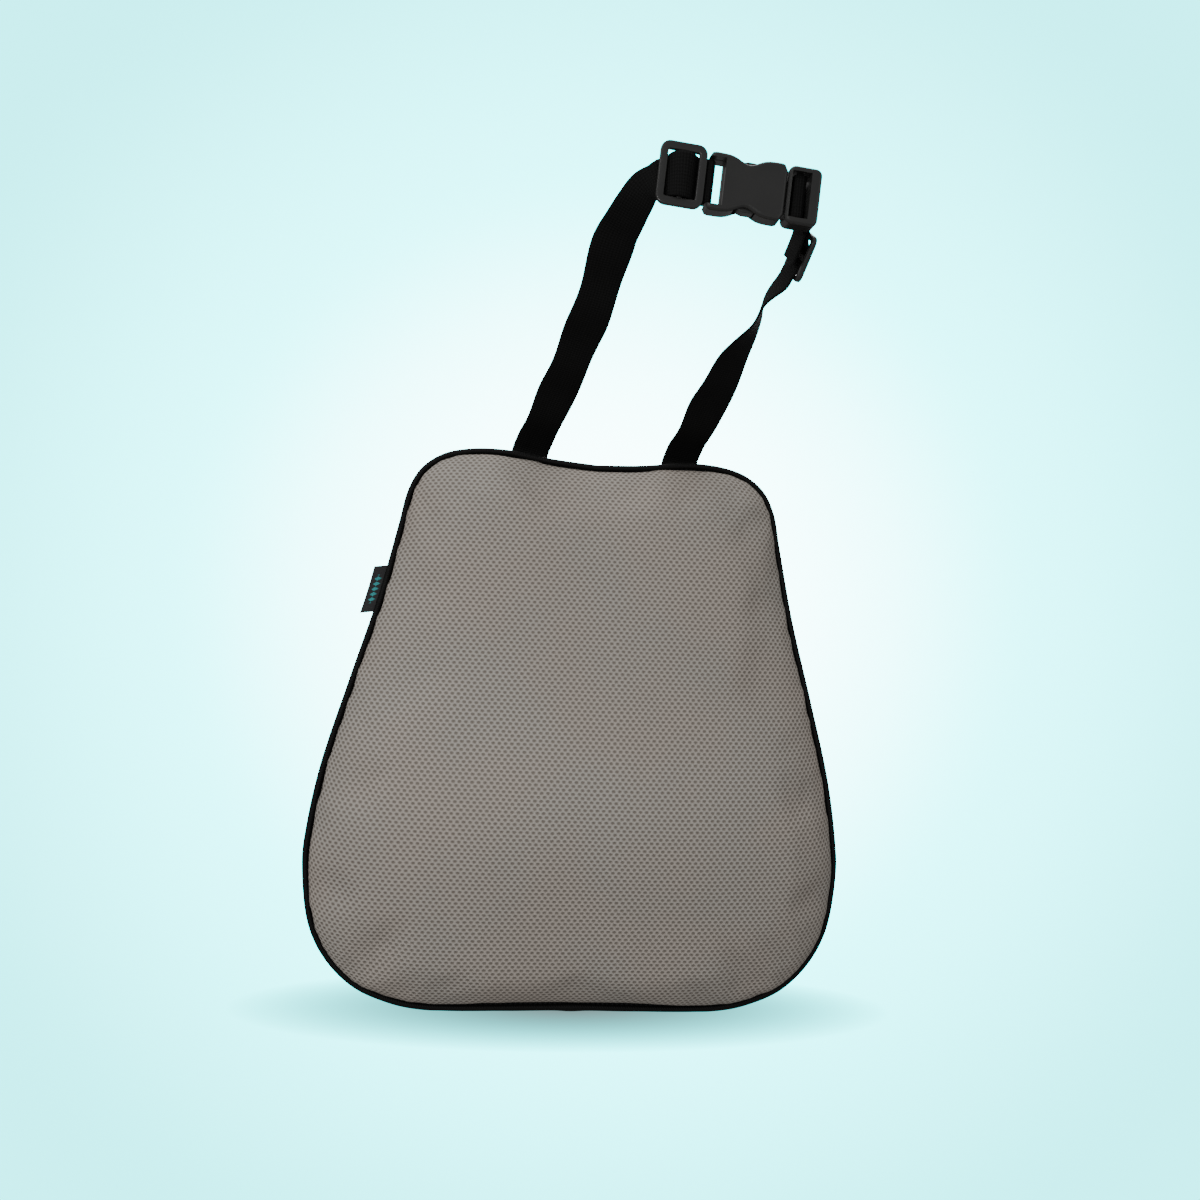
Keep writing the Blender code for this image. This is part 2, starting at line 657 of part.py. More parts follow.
def label_tag(mat):
    """The folded loop label sewn into the left front seam."""
    middle_z = 268.0 * MM
    half = 15.5 * MM
    bm = bmesh.new()
    outline = bell()
    left = outline[outline[:, 0] < 0]
    left = left[np.argsort(left[:, 1])]
    rows = []
    for z in np.linspace(middle_z - half, middle_z + half, 9):
        edge = float(np.interp(z, left[:, 1], left[:, 0]))
        y = seam_y(z)
        section = (
            (0.5, -0.7), (6.6, -0.75), (7.6, -0.4), (7.9, 0.0),
            (7.6, 0.4), (6.6, 0.75), (0.5, 0.7),
        )
        rows.append([bm.verts.new((edge - a * MM, y + b * MM, z)) for a, b in section])
    for first, second in zip(rows, rows[1:]):
        bridge(bm, first, second)
    bm.faces.new(rows[0])
    bm.faces.new(rows[-1])
    return finish("label_tag", bm, mat)


def main():
    clear_scene()
    mesh_grey = material("air_mesh_grey", (0.235, 0.215, 0.19))
    black = material("gusset_black", (0.012, 0.012, 0.013))
    rear = material("back_mesh_black", (0.016, 0.016, 0.017))
    cord = material("piping_black", (0.008, 0.008, 0.009), 0.7)
    web = material("webbing_black", (0.010, 0.010, 0.011), 0.8)
    foam = material("memory_foam", (0.78, 0.70, 0.48))
    cloth = material("liner_white", (0.72, 0.72, 0.70))
    tape = material("zip_tape_black", (0.010, 0.010, 0.011))
    coil = material("zip_coil_black", (0.014, 0.014, 0.015), 0.45)
    metal = material("zip_metal_black", (0.03, 0.03, 0.032), 0.35, 0.9)
    plastic = material("buckle_plastic", (0.022, 0.022, 0.022), 0.42)
    tag = material("label_black", (0.012, 0.012, 0.013), 0.8)

    outline = bell()
    foam_core(foam, outline)
    inner_liner(cloth, outline)
    front_panel(mesh_grey, outline)
    side_band(black, outline)
    back_panel(rear, outline)
    piping("piping_front", cord, outline, seam_y)
    piping("piping_back", cord, outline, lambda z: SEAM_BACK)
    zip_parts(tape, coil, metal)
    label_tag(tag)
    anchor("strap_anchor_left", web, outline, -44.5 * MM)
    anchor("strap_anchor_right", web, outline, 60.5 * MM)
    origin_to(strap_left(web), PIVOT)
    origin_to(strap_right(web), PIVOT)
    slide_adjuster("slider_left", plastic, LEFT_ADJUST)
    slide_adjuster("slider_right", plastic, RIGHT_ADJUST)
    origin_to(buckle_socket(plastic), BUCKLE.at(0, 0, -LIFT))
    buckle_plug(plastic)
    prong("prong_upper", plastic, 1)
    prong("prong_lower", plastic, -1)


main()
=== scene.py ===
# %% [markdown]
# # Lumbar support cushion
# A bell-shaped back cushion: a domed front of grey air mesh, black piping round both seams,
# a black side band and back, a zip low on the back, and a webbing loop at the top with two
# slide adjusters and a side-release buckle.
#
# The hard pieces come from the CAD model and keep their place, apart from the left adjuster.
# That one and the soft pieces are made here.
import math
import bpy
import numpy as np
from mathutils import Matrix, Vector


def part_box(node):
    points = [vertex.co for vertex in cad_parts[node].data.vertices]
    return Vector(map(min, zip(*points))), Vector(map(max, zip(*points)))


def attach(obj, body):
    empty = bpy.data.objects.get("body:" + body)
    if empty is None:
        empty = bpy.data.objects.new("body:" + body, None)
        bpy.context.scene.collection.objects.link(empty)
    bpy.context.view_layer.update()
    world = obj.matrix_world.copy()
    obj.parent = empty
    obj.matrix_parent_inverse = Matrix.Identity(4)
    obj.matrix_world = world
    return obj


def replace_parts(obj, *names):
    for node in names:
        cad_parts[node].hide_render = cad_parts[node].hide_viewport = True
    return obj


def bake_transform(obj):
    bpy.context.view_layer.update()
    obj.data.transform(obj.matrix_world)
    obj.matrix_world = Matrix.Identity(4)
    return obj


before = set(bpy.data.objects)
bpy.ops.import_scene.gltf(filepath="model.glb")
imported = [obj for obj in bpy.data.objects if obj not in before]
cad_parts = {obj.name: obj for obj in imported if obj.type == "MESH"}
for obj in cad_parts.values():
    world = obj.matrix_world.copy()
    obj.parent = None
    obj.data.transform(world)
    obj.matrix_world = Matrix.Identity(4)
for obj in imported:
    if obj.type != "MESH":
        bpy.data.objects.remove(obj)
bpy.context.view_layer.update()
MM = 0.001

# %% [markdown]
# ## Sizes
# The bell outline runs from the middle of the base to the middle of the top, as half-widths
# and heights in millimetres. The seam of the front leans back as it rises.

# %% Sizes
BELL_MM = (
    (0, 0.3), (98, 0.5), (121, 5.5), (141, 14.5), (159, 31.5), (171, 54), (177, 93), (176, 112),
    (170, 151), (155, 209), (139.5, 266), (130, 311), (125, 335), (117.5, 349.5),
    (104, 360), (86, 365), (62, 366), (30, 362), (0, 360),
)
CENTRE = np.array((0.0, 0.170))
HEIGHT = 366 * MM
SEAM_LOW, SEAM_HIGH = -36 * MM, -8 * MM
SEAM_BACK = 30 * MM
BACK_Y = 34 * MM
ROLL, CROWN, LUMBAR = 21 * MM, 5 * MM, 15 * MM
LUMBAR_Z, LUMBAR_SPREAD = 118 * MM, 75 * MM
PIPE_R = 2.0 * MM
COVER_INSET = 3.0 * MM
ZIP_Z = 78 * MM
ZIP_SLOT = (270 * MM, 20 * MM, 15.6 * MM)
TABS_X = (-44.5 * MM, 60.5 * MM)
LABEL_Z = (252.5 * MM, 283.5 * MM)


def seam_y(z):
    """How far forward the front seam is at a height."""
    return SEAM_LOW + (SEAM_HIGH - SEAM_LOW) * np.clip(np.asarray(z) / HEIGHT, 0, 1)


# %% [markdown]
# ## Curves
# A curve through given points, with its points evenly spaced, serves for the outline and for
# the run of the webbing.

# %% Curves
def through(points, count):
    """Evenly spaced points on a smooth curve through the given ones."""
    points = np.array(points, float)
    ends = np.vstack([2 * points[0] - points[1], points, 2 * points[-1] - points[-2]])
    fine = []
    for i in range(1, len(ends) - 2):
        p0, p1, p2, p3 = ends[i - 1 : i + 3]
        t1 = np.linalg.norm(p1 - p0) ** 0.5
        t2 = t1 + np.linalg.norm(p2 - p1) ** 0.5
        t3 = t2 + np.linalg.norm(p3 - p2) ** 0.5
        for t in np.linspace(t1, t2, 24, endpoint=False):
            a1 = p0 + t / t1 * (p1 - p0)
            a2 = p1 + (t - t1) / (t2 - t1) * (p2 - p1)
            a3 = p2 + (t - t2) / (t3 - t2) * (p3 - p2)
            b1 = a1 + t / t2 * (a2 - a1)
            b2 = a2 + (t - t1) / (t3 - t1) * (a3 - a2)
            fine.append(b1 + (t - t1) / (t2 - t1) * (b2 - b1))
    fine = np.array(fine + [points[-1]])
    run = np.concatenate([[0], np.cumsum(np.linalg.norm(np.diff(fine, axis=0), axis=1))])
    even = np.linspace(0, run[-1], count)
    return np.column_stack([np.interp(even, run, fine[:, k]) for k in range(fine.shape[1])])


def bell(count):
    """The outline as a closed loop of (x, z)."""
    half = through(np.array(BELL_MM) * MM, count // 2 + 1)
    return np.vstack([half, half[1:-1][::-1] * (-1, 1)])


def inset(loop, depth):
    """The loop moved inwards."""
    along = np.roll(loop, -1, axis=0) - np.roll(loop, 1, axis=0)
    along /= np.linalg.norm(along, axis=1)[:, None]
    return loop + np.column_stack([-along[:, 1], along[:, 0]]) * depth


OUTLINE = bell(240)
print("outline", len(OUTLINE), "points,", round(OUTLINE[:, 0].max() * 2000), "mm wide")

# %% [markdown]
# ## Making a piece
# Most soft pieces are skins laid over rows of points. Each row is one loop of the skin.

# %% Rows into a mesh
def skin(name, rows, closed=True, caps=(), uvs=None):
    """A mesh over rows of points. closed joins the end of each row to its start."""
    rows = [np.asarray(row, float) for row in rows]
    count = len(rows[0])
    points = np.vstack(rows)
    faces, corners = [], []
    for r in range(len(rows) - 1):
        for i in range(count if closed else count - 1):
            j = (i + 1) % count
            faces.append((r * count + i, r * count + j, (r + 1) * count + j, (r + 1) * count + i))
            corners.append(((i, r), (i + 1, r), (i + 1, r + 1), (i, r + 1)))
    for cap in caps:
        start = (cap % len(rows)) * count
        faces.append(tuple(range(start, start + count)))
        corners.append(tuple((i, cap % len(rows)) for i in range(count)))
    mesh = bpy.data.meshes.new(name)
    mesh.from_pydata(points.tolist(), [], faces)
    if uvs is not None:
        layer = mesh.uv_layers.new(name="run")
        flat = [uvs(i, r) for face in corners for i, r in face]
        layer.data.foreach_set("uv", np.array(flat, np.float32).ravel())
    obj = bpy.data.objects.new(name, mesh)
    bpy.context.scene.collection.objects.link(obj)
    outwards(obj)
    return obj


def edit(obj):
    """Opens obj alone in edit mode with everything selected."""
    if bpy.context.mode != "OBJECT":
        bpy.ops.object.mode_set(mode="OBJECT")
    bpy.ops.object.select_all(action="DESELECT")
    bpy.context.view_layer.objects.active = obj
    obj.select_set(True)
    bpy.ops.object.mode_set(mode="EDIT")
    bpy.ops.mesh.select_all(action="SELECT")


def done(obj, angle=None):
    """Back to object mode, shaded smooth, with edges sharper than angle kept if one is given."""
    bpy.ops.object.mode_set(mode="OBJECT")
    if angle is None:
        bpy.ops.object.shade_smooth()
    else:
        bpy.ops.object.shade_smooth_by_angle(angle=math.radians(angle))
    return obj


def outwards(obj, angle=None):
    """Turns every face to look out."""
    edit(obj)
    bpy.ops.mesh.normals_make_consistent(inside=False)
    return done(obj, angle)


def applied(obj, kind, **settings):
    """Adds one modifier, sets it up and applies it."""
    modifier = obj.modifiers.new(kind.title(), kind)
    for key, value in settings.items():
        setattr(modifier, key, value)
    bpy.ops.object.select_all(action="DESELECT")
    bpy.context.view_layer.objects.active = obj
    obj.select_set(True)
    bpy.ops.object.modifier_apply(modifier=modifier.name)
    return obj


def coords(mesh):
    """The mesh's points as rows of an array."""
    flat = np.empty(len(mesh.vertices) * 3, np.float32)
    mesh.vertices.foreach_get("co", flat)
    return flat.reshape(-1, 3).astype(float)


def set_coords(mesh, points):
    """Puts changed points back into the mesh."""
    mesh.vertices.foreach_set("co", np.asarray(points, np.float32).ravel())
    mesh.update()


print("tools ready")

# %% [markdown]
# ## Materials
# Shader sums are written as Python sums. A `Value` is one output in a node tree, and adding or
# multiplying it adds the matching Math node.

# %% A value that can be added and multiplied
class Value:
    """One output of a node."""

    def __init__(self, tree, socket):
        self.tree, self.socket = tree, socket

    def node(self, kind, settings=(), out=0, **sockets):
        """Adds any node: its settings, then its inputs by name or by number as n0, n1..."""
        made = self.tree.nodes.new(kind)
        for key, value in dict(settings).items():
            setattr(made, key, value)
        for key, value in sockets.items():
            number = key[1:] if key[0] == "n" and key[1:].isdigit() else None
            place = made.inputs[int(number) if number else key.replace("_", " ")]
            if isinstance(value, Value):
                self.tree.links.new(value.socket, place)
            else:
                place.default_value = value
        return Value(self.tree, made.outputs[out])

    def math(self, operation, *others):
        inputs = {f"n{i}": v for i, v in enumerate((self, *others))}
        return self.node("ShaderNodeMath", {"operation": operation}, **inputs)

    def flipped(self, operation, other):
        return self.node("ShaderNodeMath", {"operation": operation}, n0=other, n1=self)

    def __add__(self, other):
        return self.math("ADD", other)

    def __sub__(self, other):
        return self.math("SUBTRACT", other)

    def __mul__(self, other):
        return self.math("MULTIPLY", other)

    def __truediv__(self, other):
        return self.math("DIVIDE", other)

    def __radd__(self, other):
        return self.flipped("ADD", other)

    def __rsub__(self, other):
        return self.flipped("SUBTRACT", other)

    def __rmul__(self, other):
        return self.flipped("MULTIPLY", other)

    def __rtruediv__(self, other):
        return self.flipped("DIVIDE", other)

    def fract(self):
        return self.math("FRACT")

    def wave(self, length):
        """Goes from 0 to 1 and back over each length."""
        return (self * (2 * math.pi / length)).math("SINE") * 0.5 + 0.5

    def step(self, low, high):
        return self.node(
            "ShaderNodeMapRange", {"interpolation_type": "SMOOTHSTEP"},
            Value=self, From_Min=low, From_Max=high,
        )

    def colours(self, first, second):
        """Mixes two colours by this value."""
        made = self.tree.nodes.new("ShaderNodeMix")
        made.data_type = "RGBA"
        self.tree.links.new(self.socket, made.inputs[0])
        for place, colour in ((6, first), (7, second)):
            if isinstance(colour, Value):
                self.tree.links.new(colour.socket, made.inputs[place])
            else:
                made.inputs[place].default_value = (*colour, 1)
        return Value(self.tree, made.outputs[2])


print("shader sums ready")

# %% A finish in the making
class Finish:
    """A material in the making: where it reads its place from, and what it sets."""

    def __init__(self, name, roughness=0.9, metallic=0.0, sheen=0.0, specular=0.5):
        self.material = bpy.data.materials.new(name)
        self.material.use_nodes = True
        self.tree = self.material.node_tree
        self.shader = self.tree.nodes["Principled BSDF"]
        self.shader.inputs["Roughness"].default_value = roughness
        self.shader.inputs["Metallic"].default_value = metallic
        self.shader.inputs["Sheen Weight"].default_value = sheen
        self.shader.inputs["Specular IOR Level"].default_value = specular
        self.start = Value(self.tree, None)

    def place(self, uv=None):
        """(x, y, z) of the surface, from its own run map or from the object."""
        if uv:
            where = self.start.node("ShaderNodeUVMap", {"uv_map": uv})
        else:
            where = self.start.node("ShaderNodeTexCoord", out=3)
        self.where = where
        split = self.tree.nodes.new("ShaderNodeSeparateXYZ")
        self.tree.links.new(where.socket, split.inputs[0])
        return [Value(self.tree, out) for out in split.outputs]

    def noise(self, scale, detail=2.0, roughness=0.5):
        return self.start.node(
            "ShaderNodeTexNoise", Vector=self.where, Scale=scale, Detail=detail,
            Roughness=roughness,
        )

    def set(self, colour=None, roughness=None, height=None, depth=0.0005, strength=0.6):
        if isinstance(colour, Value):
            self.tree.links.new(colour.socket, self.shader.inputs["Base Color"])
        elif colour is not None:
            self.shader.inputs["Base Color"].default_value = (*colour, 1)
        if roughness is not None:
            self.tree.links.new(roughness.socket, self.shader.inputs["Roughness"])
        if height is not None:
            bump = self.start.node(
                "ShaderNodeBump", Height=height, Distance=depth, Strength=strength
            )
            self.tree.links.new(bump.socket, self.shader.inputs["Normal"])
        return self.material


print("finishes ready")

# %% [markdown]
# ## Fabrics
# The front is a spacer mesh: rows of small oval holes, each row shifted by half a hole, in a
# grey-brown knit. The band and the back are the same kind of mesh in black.

# %% Mesh fabrics
def mesh_fabric(name, knit, hole, pitch, row, uv=None, axes=(0, 1)):
    """A knitted mesh with staggered oval holes. pitch is along a row and row is between rows."""
    finish = Finish(name, roughness=0.95, specular=0.1)
    place = finish.place(uv)
    wobble = finish.noise(45.0, 3.0)
    along = place[axes[0]] + (wobble - 0.5) * (0.35 * pitch)
    across = place[axes[1]] + (wobble - 0.5) * (0.35 * row)
    line = across / row
    shift = line.math("FLOOR") * 0.5
    u = (along / pitch + shift).fract() - 0.5
    v = line.fract() - 0.5
    apart = ((u * u) * 1.25 + (v * v) * 0.95).math("SQRT")
    solid = apart.step(0.13, 0.50)
    rib = u.math("ABSOLUTE").step(0.1, 0.5) * 0.25 + 0.75
    cloud = finish.noise(9.0, 4.0, 0.6)
    fibre = finish.noise(900.0, 2.0)
    shade = solid * rib
    tone = (shade * 0.86 + fibre * 0.22 - 0.05) * (0.86 + cloud * 0.28)
    tint = finish.noise(14.0, 2.0).step(0.35, 0.65)
    knit_colour = tint.colours(knit, (knit[0] * 0.95, knit[1] * 1.0, knit[2] * 1.02))
    return finish.set(tone.colours(hole, knit_colour), None, solid, 0.6 * MM, 0.8)


GREY_KNIT, GREY_HOLE = (0.425, 0.380, 0.338), (0.165, 0.143, 0.122)
front_mesh = mesh_fabric("air_mesh_grey", GREY_KNIT, GREY_HOLE, 3.9 * MM, 2.4 * MM, uv="cloth")
band_mesh = mesh_fabric(
    "band_mesh_black", (0.014, 0.014, 0.0145), (0.002, 0.002, 0.002), 3.2 * MM, 2.2 * MM, uv="run"
)
back_mesh = mesh_fabric(
    "back_mesh_black", (0.015, 0.015, 0.0155), (0.002, 0.002, 0.002), 3.2 * MM, 2.2 * MM,
    axes=(0, 2),
)
print("mesh fabrics", front_mesh.name, band_mesh.name, back_mesh.name)

# %% Webbing, piping, thread and tape
def webbing(name):
    """Flat woven webbing: fine ribs across it, pairs of warp cords along it."""
    finish = Finish(name, roughness=0.8, specular=0.12)
    across, along, _ = finish.place("run")
    weft = along.wave(1.5 * MM)
    warp = (across + along.wave(3.0 * MM) * (0.25 * MM)).wave(1.9 * MM)
    cloth = weft * 0.55 + warp * 0.45
    cloud = finish.noise(30.0, 3.0)
    tone = cloth * 0.6 + cloud * 0.4
    return finish.set(tone.colours((0.0012,) * 3, (0.0085,) * 3), None, cloth, 0.0005, 0.6)


def cord_cover(name):
    """Bias tape pulled round a cord."""
    finish = Finish(name, roughness=0.65, specular=0.15)
    around, along, _ = finish.place("run")
    twill = (along + around * 0.5).wave(1.6 * MM)
    cloud = finish.noise(60.0, 3.0)
    tone = twill * 0.4 + cloud * 0.6
    return finish.set(tone.colours((0.0015,) * 3, (0.007,) * 3), None, twill, 0.0003, 0.5)


def twill_tape(name):
    """Fine diagonal twill."""
    finish = Finish(name, roughness=0.85, specular=0.15)
    x, _, z = finish.place()
    lines = (x + z * 1.4).wave(1.1 * MM)
    tone = lines * 0.6 + finish.noise(200.0) * 0.4
    return finish.set(tone.colours((0.005,) * 3, (0.016,) * 3), None, lines, 0.0002, 0.5)


web = webbing("webbing_black")
cord = cord_cover("piping_black")
tape = twill_tape("zip_tape_black")
thread = Finish("thread_black", roughness=0.5, specular=0.3).set((0.012, 0.012, 0.0125))
print("woven finishes", web.name, cord.name, tape.name)

# %% Plastic, coil and metal
def moulded(name, dark, light, roughness):
    """Satin moulded plastic with a faint grain."""
    finish = Finish(name, roughness=roughness, specular=0.5)
    finish.place()
    grain = finish.noise(700.0, 2.0)
    cloud = finish.noise(40.0, 3.0)
    rough = cloud * 0.14 + (roughness - 0.07)
    return finish.set(cloud.colours(dark, light), rough, grain, 0.0001, 0.25)


plastic = moulded("buckle_plastic", (0.016, 0.016, 0.0155), (0.022, 0.022, 0.0215), 0.36)
coil = moulded("zip_coil_black", (0.012,) * 3, (0.02,) * 3, 0.35)
enamel = Finish("zip_enamel_black", roughness=0.3, metallic=0.6)
enamel.place()
zip_metal = enamel.set(enamel.noise(80.0).colours((0.02,) * 3, (0.04,) * 3))
print("hard finishes", plastic.name, coil.name, zip_metal.name)

# %% [markdown]
# ## Front cover
# The front starts as a closed shell a little smaller than the finished pad. A cloth simulation
# with air pressure inside then swells it against its pinned seam. The knit's own map follows
# the surface over the rolled edge, so that the holes keep their size there.

# %% Shape of the front
RINGS = np.sin(np.linspace(math.pi / 2, 0.06, 26))
ROLL_POWER = 9.0
MEAN_REACH = 0.17
PULLS_MM = ((3.2, 60, 353, 13, 16), (1.6, -44, 355, 13, 12))


def front_y(z, ring, x):
    """Y of the cover's outside. ring is 1 at the seam and 0 in the middle."""
    roll = ROLL * np.sqrt(np.clip(1 - ring**ROLL_POWER, 0, None))
    bulge = CROWN + LUMBAR * np.exp(-(((z - LUMBAR_Z) / LUMBAR_SPREAD) ** 2))
    pull = sum(
        depth * MM * np.exp(-(((x / MM - at_x) / wide) ** 2 + ((z / MM - at_z) / high) ** 2))
        for depth, at_x, at_z, wide, high in PULLS_MM
    )
    return seam_y(z) - roll - bulge * (1 - ring**2) + pull


def front_rows(loop, rings):
    """Loops of the front's outside, from the seam to the middle."""
    rows = []
    for ring in rings:
        flat = CENTRE + (loop - CENTRE) * ring
        y = front_y(flat[:, 1], ring, flat[:, 0])
        rows.append(np.column_stack([flat[:, 0], y, flat[:, 1]]))
    return rows


def cloth_map(obj):
    """A map in metres that follows the surface outwards from the middle of the front."""
    points = coords(obj.data)
    loop = inset(OUTLINE, COVER_INSET)
    angle = np.arctan2(loop[:, 1] - CENTRE[1], loop[:, 0] - CENTRE[0])
    reach = np.linalg.norm(loop - CENTRE, axis=1)
    order = np.argsort(angle)
    flat = points[:, [0, 2]] - CENTRE
    far = np.linalg.norm(flat, axis=1)
    edge = np.interp(np.arctan2(flat[:, 1], flat[:, 0]), angle[order], reach[order],
                     period=2 * math.pi)
    ring = np.clip(far / edge, 0, 1)
    even = np.linspace(0, 1, 400)
    rise = ROLL * np.sqrt(np.clip(1 - even**ROLL_POWER, 0, None))
    steps = np.hypot(np.diff(even) * MEAN_REACH, np.diff(rise))
    length = np.concatenate([[0], np.cumsum(steps)]) / MEAN_REACH
    stretch = np.interp(ring, even, length) / np.maximum(ring, 1e-6)
    places = flat * stretch[:, None]
    layer = obj.data.uv_layers.new(name="cloth")
    loops = np.empty(len(obj.data.loops), np.int32)
    obj.data.loops.foreach_get("vertex_index", loops)
    layer.data.foreach_set("uv", places[loops].astype(np.float32).ravel())


front_loop = inset(OUTLINE, COVER_INSET)
shell = front_rows(front_loop, RINGS)
behind = np.column_stack([front_loop[:, 0], seam_y(front_loop[:, 1]) + 4 * MM, front_loop[:, 1]])
deep = inset(OUTLINE, 9 * MM)
closing = np.column_stack([deep[:, 0], seam_y(deep[:, 1]) + 6 * MM, deep[:, 1]])
front = skin("front_cover", [closing, behind, *shell], caps=(0, -1))
print("front shell", len(front.data.vertices), "points")

# %% [markdown]
# The shell is remeshed to even cells before it is simulated. Points behind the seam are
# pinned, and no point may move more than a few millimetres from where it started.

# %% Swelling the front
def swell(obj, pinned, cell, most, pressure=4.0, frames=20):
    """Remeshes obj and lets cloth under pressure settle, with each point's movement capped."""
    applied(obj, "REMESH", mode="VOXEL", voxel_size=cell, use_smooth_shade=True)
    start = coords(obj.data)
    group = obj.vertex_groups.new(name="seam")
    group.add([int(i) for i in np.flatnonzero(pinned(start))], 1.0, "REPLACE")
    cloth = obj.modifiers.new("Cloth", "CLOTH")
    rules = cloth.settings
    rules.quality = 4
    rules.mass = 0.25
    rules.tension_stiffness = rules.compression_stiffness = 12
    rules.bending_stiffness = 0.6
    rules.vertex_group_mass = "seam"
    rules.use_pressure = True
    rules.uniform_pressure_force = pressure
    rules.shrink_min = -0.012
    rules.effector_weights.gravity = 0
    cloth.point_cache.frame_start, cloth.point_cache.frame_end = 1, frames
    for number in range(1, frames + 1):
        bpy.context.scene.frame_set(number)
    result = obj.evaluated_get(bpy.context.evaluated_depsgraph_get())
    ended = coords(result.data)
    bpy.context.scene.frame_set(1)
    obj.modifiers.remove(cloth)
    moved = ended - start
    far = np.linalg.norm(moved, axis=1)[:, None]
    start = start + moved * np.minimum(1, most / np.maximum(far, 1e-9))
    print("cloth moved", round(float(far.max()) * 1000, 2), "mm at most")
    set_coords(obj.data, start)
    edit(obj)
    bpy.ops.mesh.vertices_smooth(factor=0.5, repeat=2)
    done(obj)
    applied(obj, "SUBSURF", levels=1, render_levels=1)
    return obj


swell(front, lambda p: p[:, 1] > seam_y(p[:, 2]) - 1.5 * MM, 5 * MM, 3 * MM)
cloth_map(front)
front.data.materials.append(front_mesh)
print("front cover", len(front.data.polygons), "faces")

# %% [markdown]
# ## Side band and back
# The band swells a little between the pipings and puckers along both seams. The back is a
# thinner pad with a slot for the zip.

# %% Side band
def band():
    """The side band: puckered outside rows from seam to seam, then two rows inside."""
    count = len(OUTLINE)
    turn = np.linspace(0, 2 * math.pi, count, endpoint=False)
    rng = np.random.default_rng(4)
    pucker = sum(
        np.sin(turn * k + rng.uniform(0, 6.28)) * a
        for k, a in ((61, 0.10), (83, 0.08), (17, 0.10), (5, 0.12))
    ) * MM
    rows = []
    steps = np.linspace(0, 1, 18)
    for part in steps:
        crown = math.sin(math.pi * part) ** 0.55
        near_seam = 1 - crown
        depth = 1.9 * MM * near_seam + 0.35 * MM + pucker * (0.35 + 1.4 * near_seam)
        loop = OUTLINE + (inset(OUTLINE, 1.0) - OUTLINE) * np.asarray(depth)[:, None]
        y = (seam_y(loop[:, 1]) + 0.8 * MM) * (1 - part) + (SEAM_BACK - 0.8 * MM) * part
        rows.append(np.column_stack([loop[:, 0], y, loop[:, 1]]))
    inner = inset(OUTLINE, 5.0 * MM)
    for y in (SEAM_BACK - 0.8 * MM, None):
        at = seam_y(inner[:, 1]) + 0.8 * MM if y is None else np.full(count, y)
        rows.append(np.column_stack([inner[:, 0], at, inner[:, 1]]))
    rows.append(rows[0])
    around = np.concatenate([[0], np.cumsum(np.linalg.norm(
        np.diff(np.vstack([OUTLINE, OUTLINE[:1]]), axis=0), axis=1))])
    made = skin("side_band_cover", rows,
                uvs=lambda i, r: (around[i], 0.06 * steps[min(r, 17)]))
    edit(made)
    bpy.ops.mesh.remove_doubles(threshold=0.00001)
    bpy.ops.mesh.normals_make_consistent(inside=False)
    done(made)
    made.data.materials.append(band_mesh)
    return made


side = band()
print("side band", len(side.data.polygons), "faces")

# %% Back
def back():
    """A thin crowned pad with a slot cut for the zip."""
    loop = inset(OUTLINE, 3.2 * MM)
    rings = (1.0, 0.994, 0.985, 0.97, 0.945, 0.90, 0.82, 0.7, 0.55, 0.4, 0.25, 0.1)
    rows = [np.column_stack([loop[:, 0], np.full(len(loop), BACK_Y - 5.5 * MM), loop[:, 1]])]
    for ring in rings:
        flat = CENTRE + (loop - CENTRE) * ring
        rise = 4.6 * MM * math.sqrt(1 - ring**24) if ring < 1 else 0.0
        rows.append(np.column_stack([
            flat[:, 0], np.full(len(loop), BACK_Y - 4.8 * MM + rise), flat[:, 1]
        ]))
    made = skin("back_cover", rows, caps=(0, -1))
    bpy.ops.mesh.primitive_cube_add(size=1, location=(0, BACK_Y - 2 * MM, ZIP_Z))
    cutter = bpy.context.object
    cutter.scale = ZIP_SLOT
    bpy.ops.object.transform_apply(location=False, rotation=False, scale=True)
    edit(cutter)
    bpy.ops.mesh.bevel(offset=2.5 * MM, segments=3, affect="EDGES")
    done(cutter)
    applied(made, "BOOLEAN", operation="DIFFERENCE", solver="EXACT", object=cutter)
    bpy.data.objects.remove(cutter)
    outwards(made, 50)
    made.data.materials.append(back_mesh)
    return made


rear = back()
print("back", len(rear.data.polygons), "faces")

# %% [markdown]
# ## Piping
# Two cords covered in black tape run round the seams. The cover's ends meet in a small lump
# at the middle of the base.

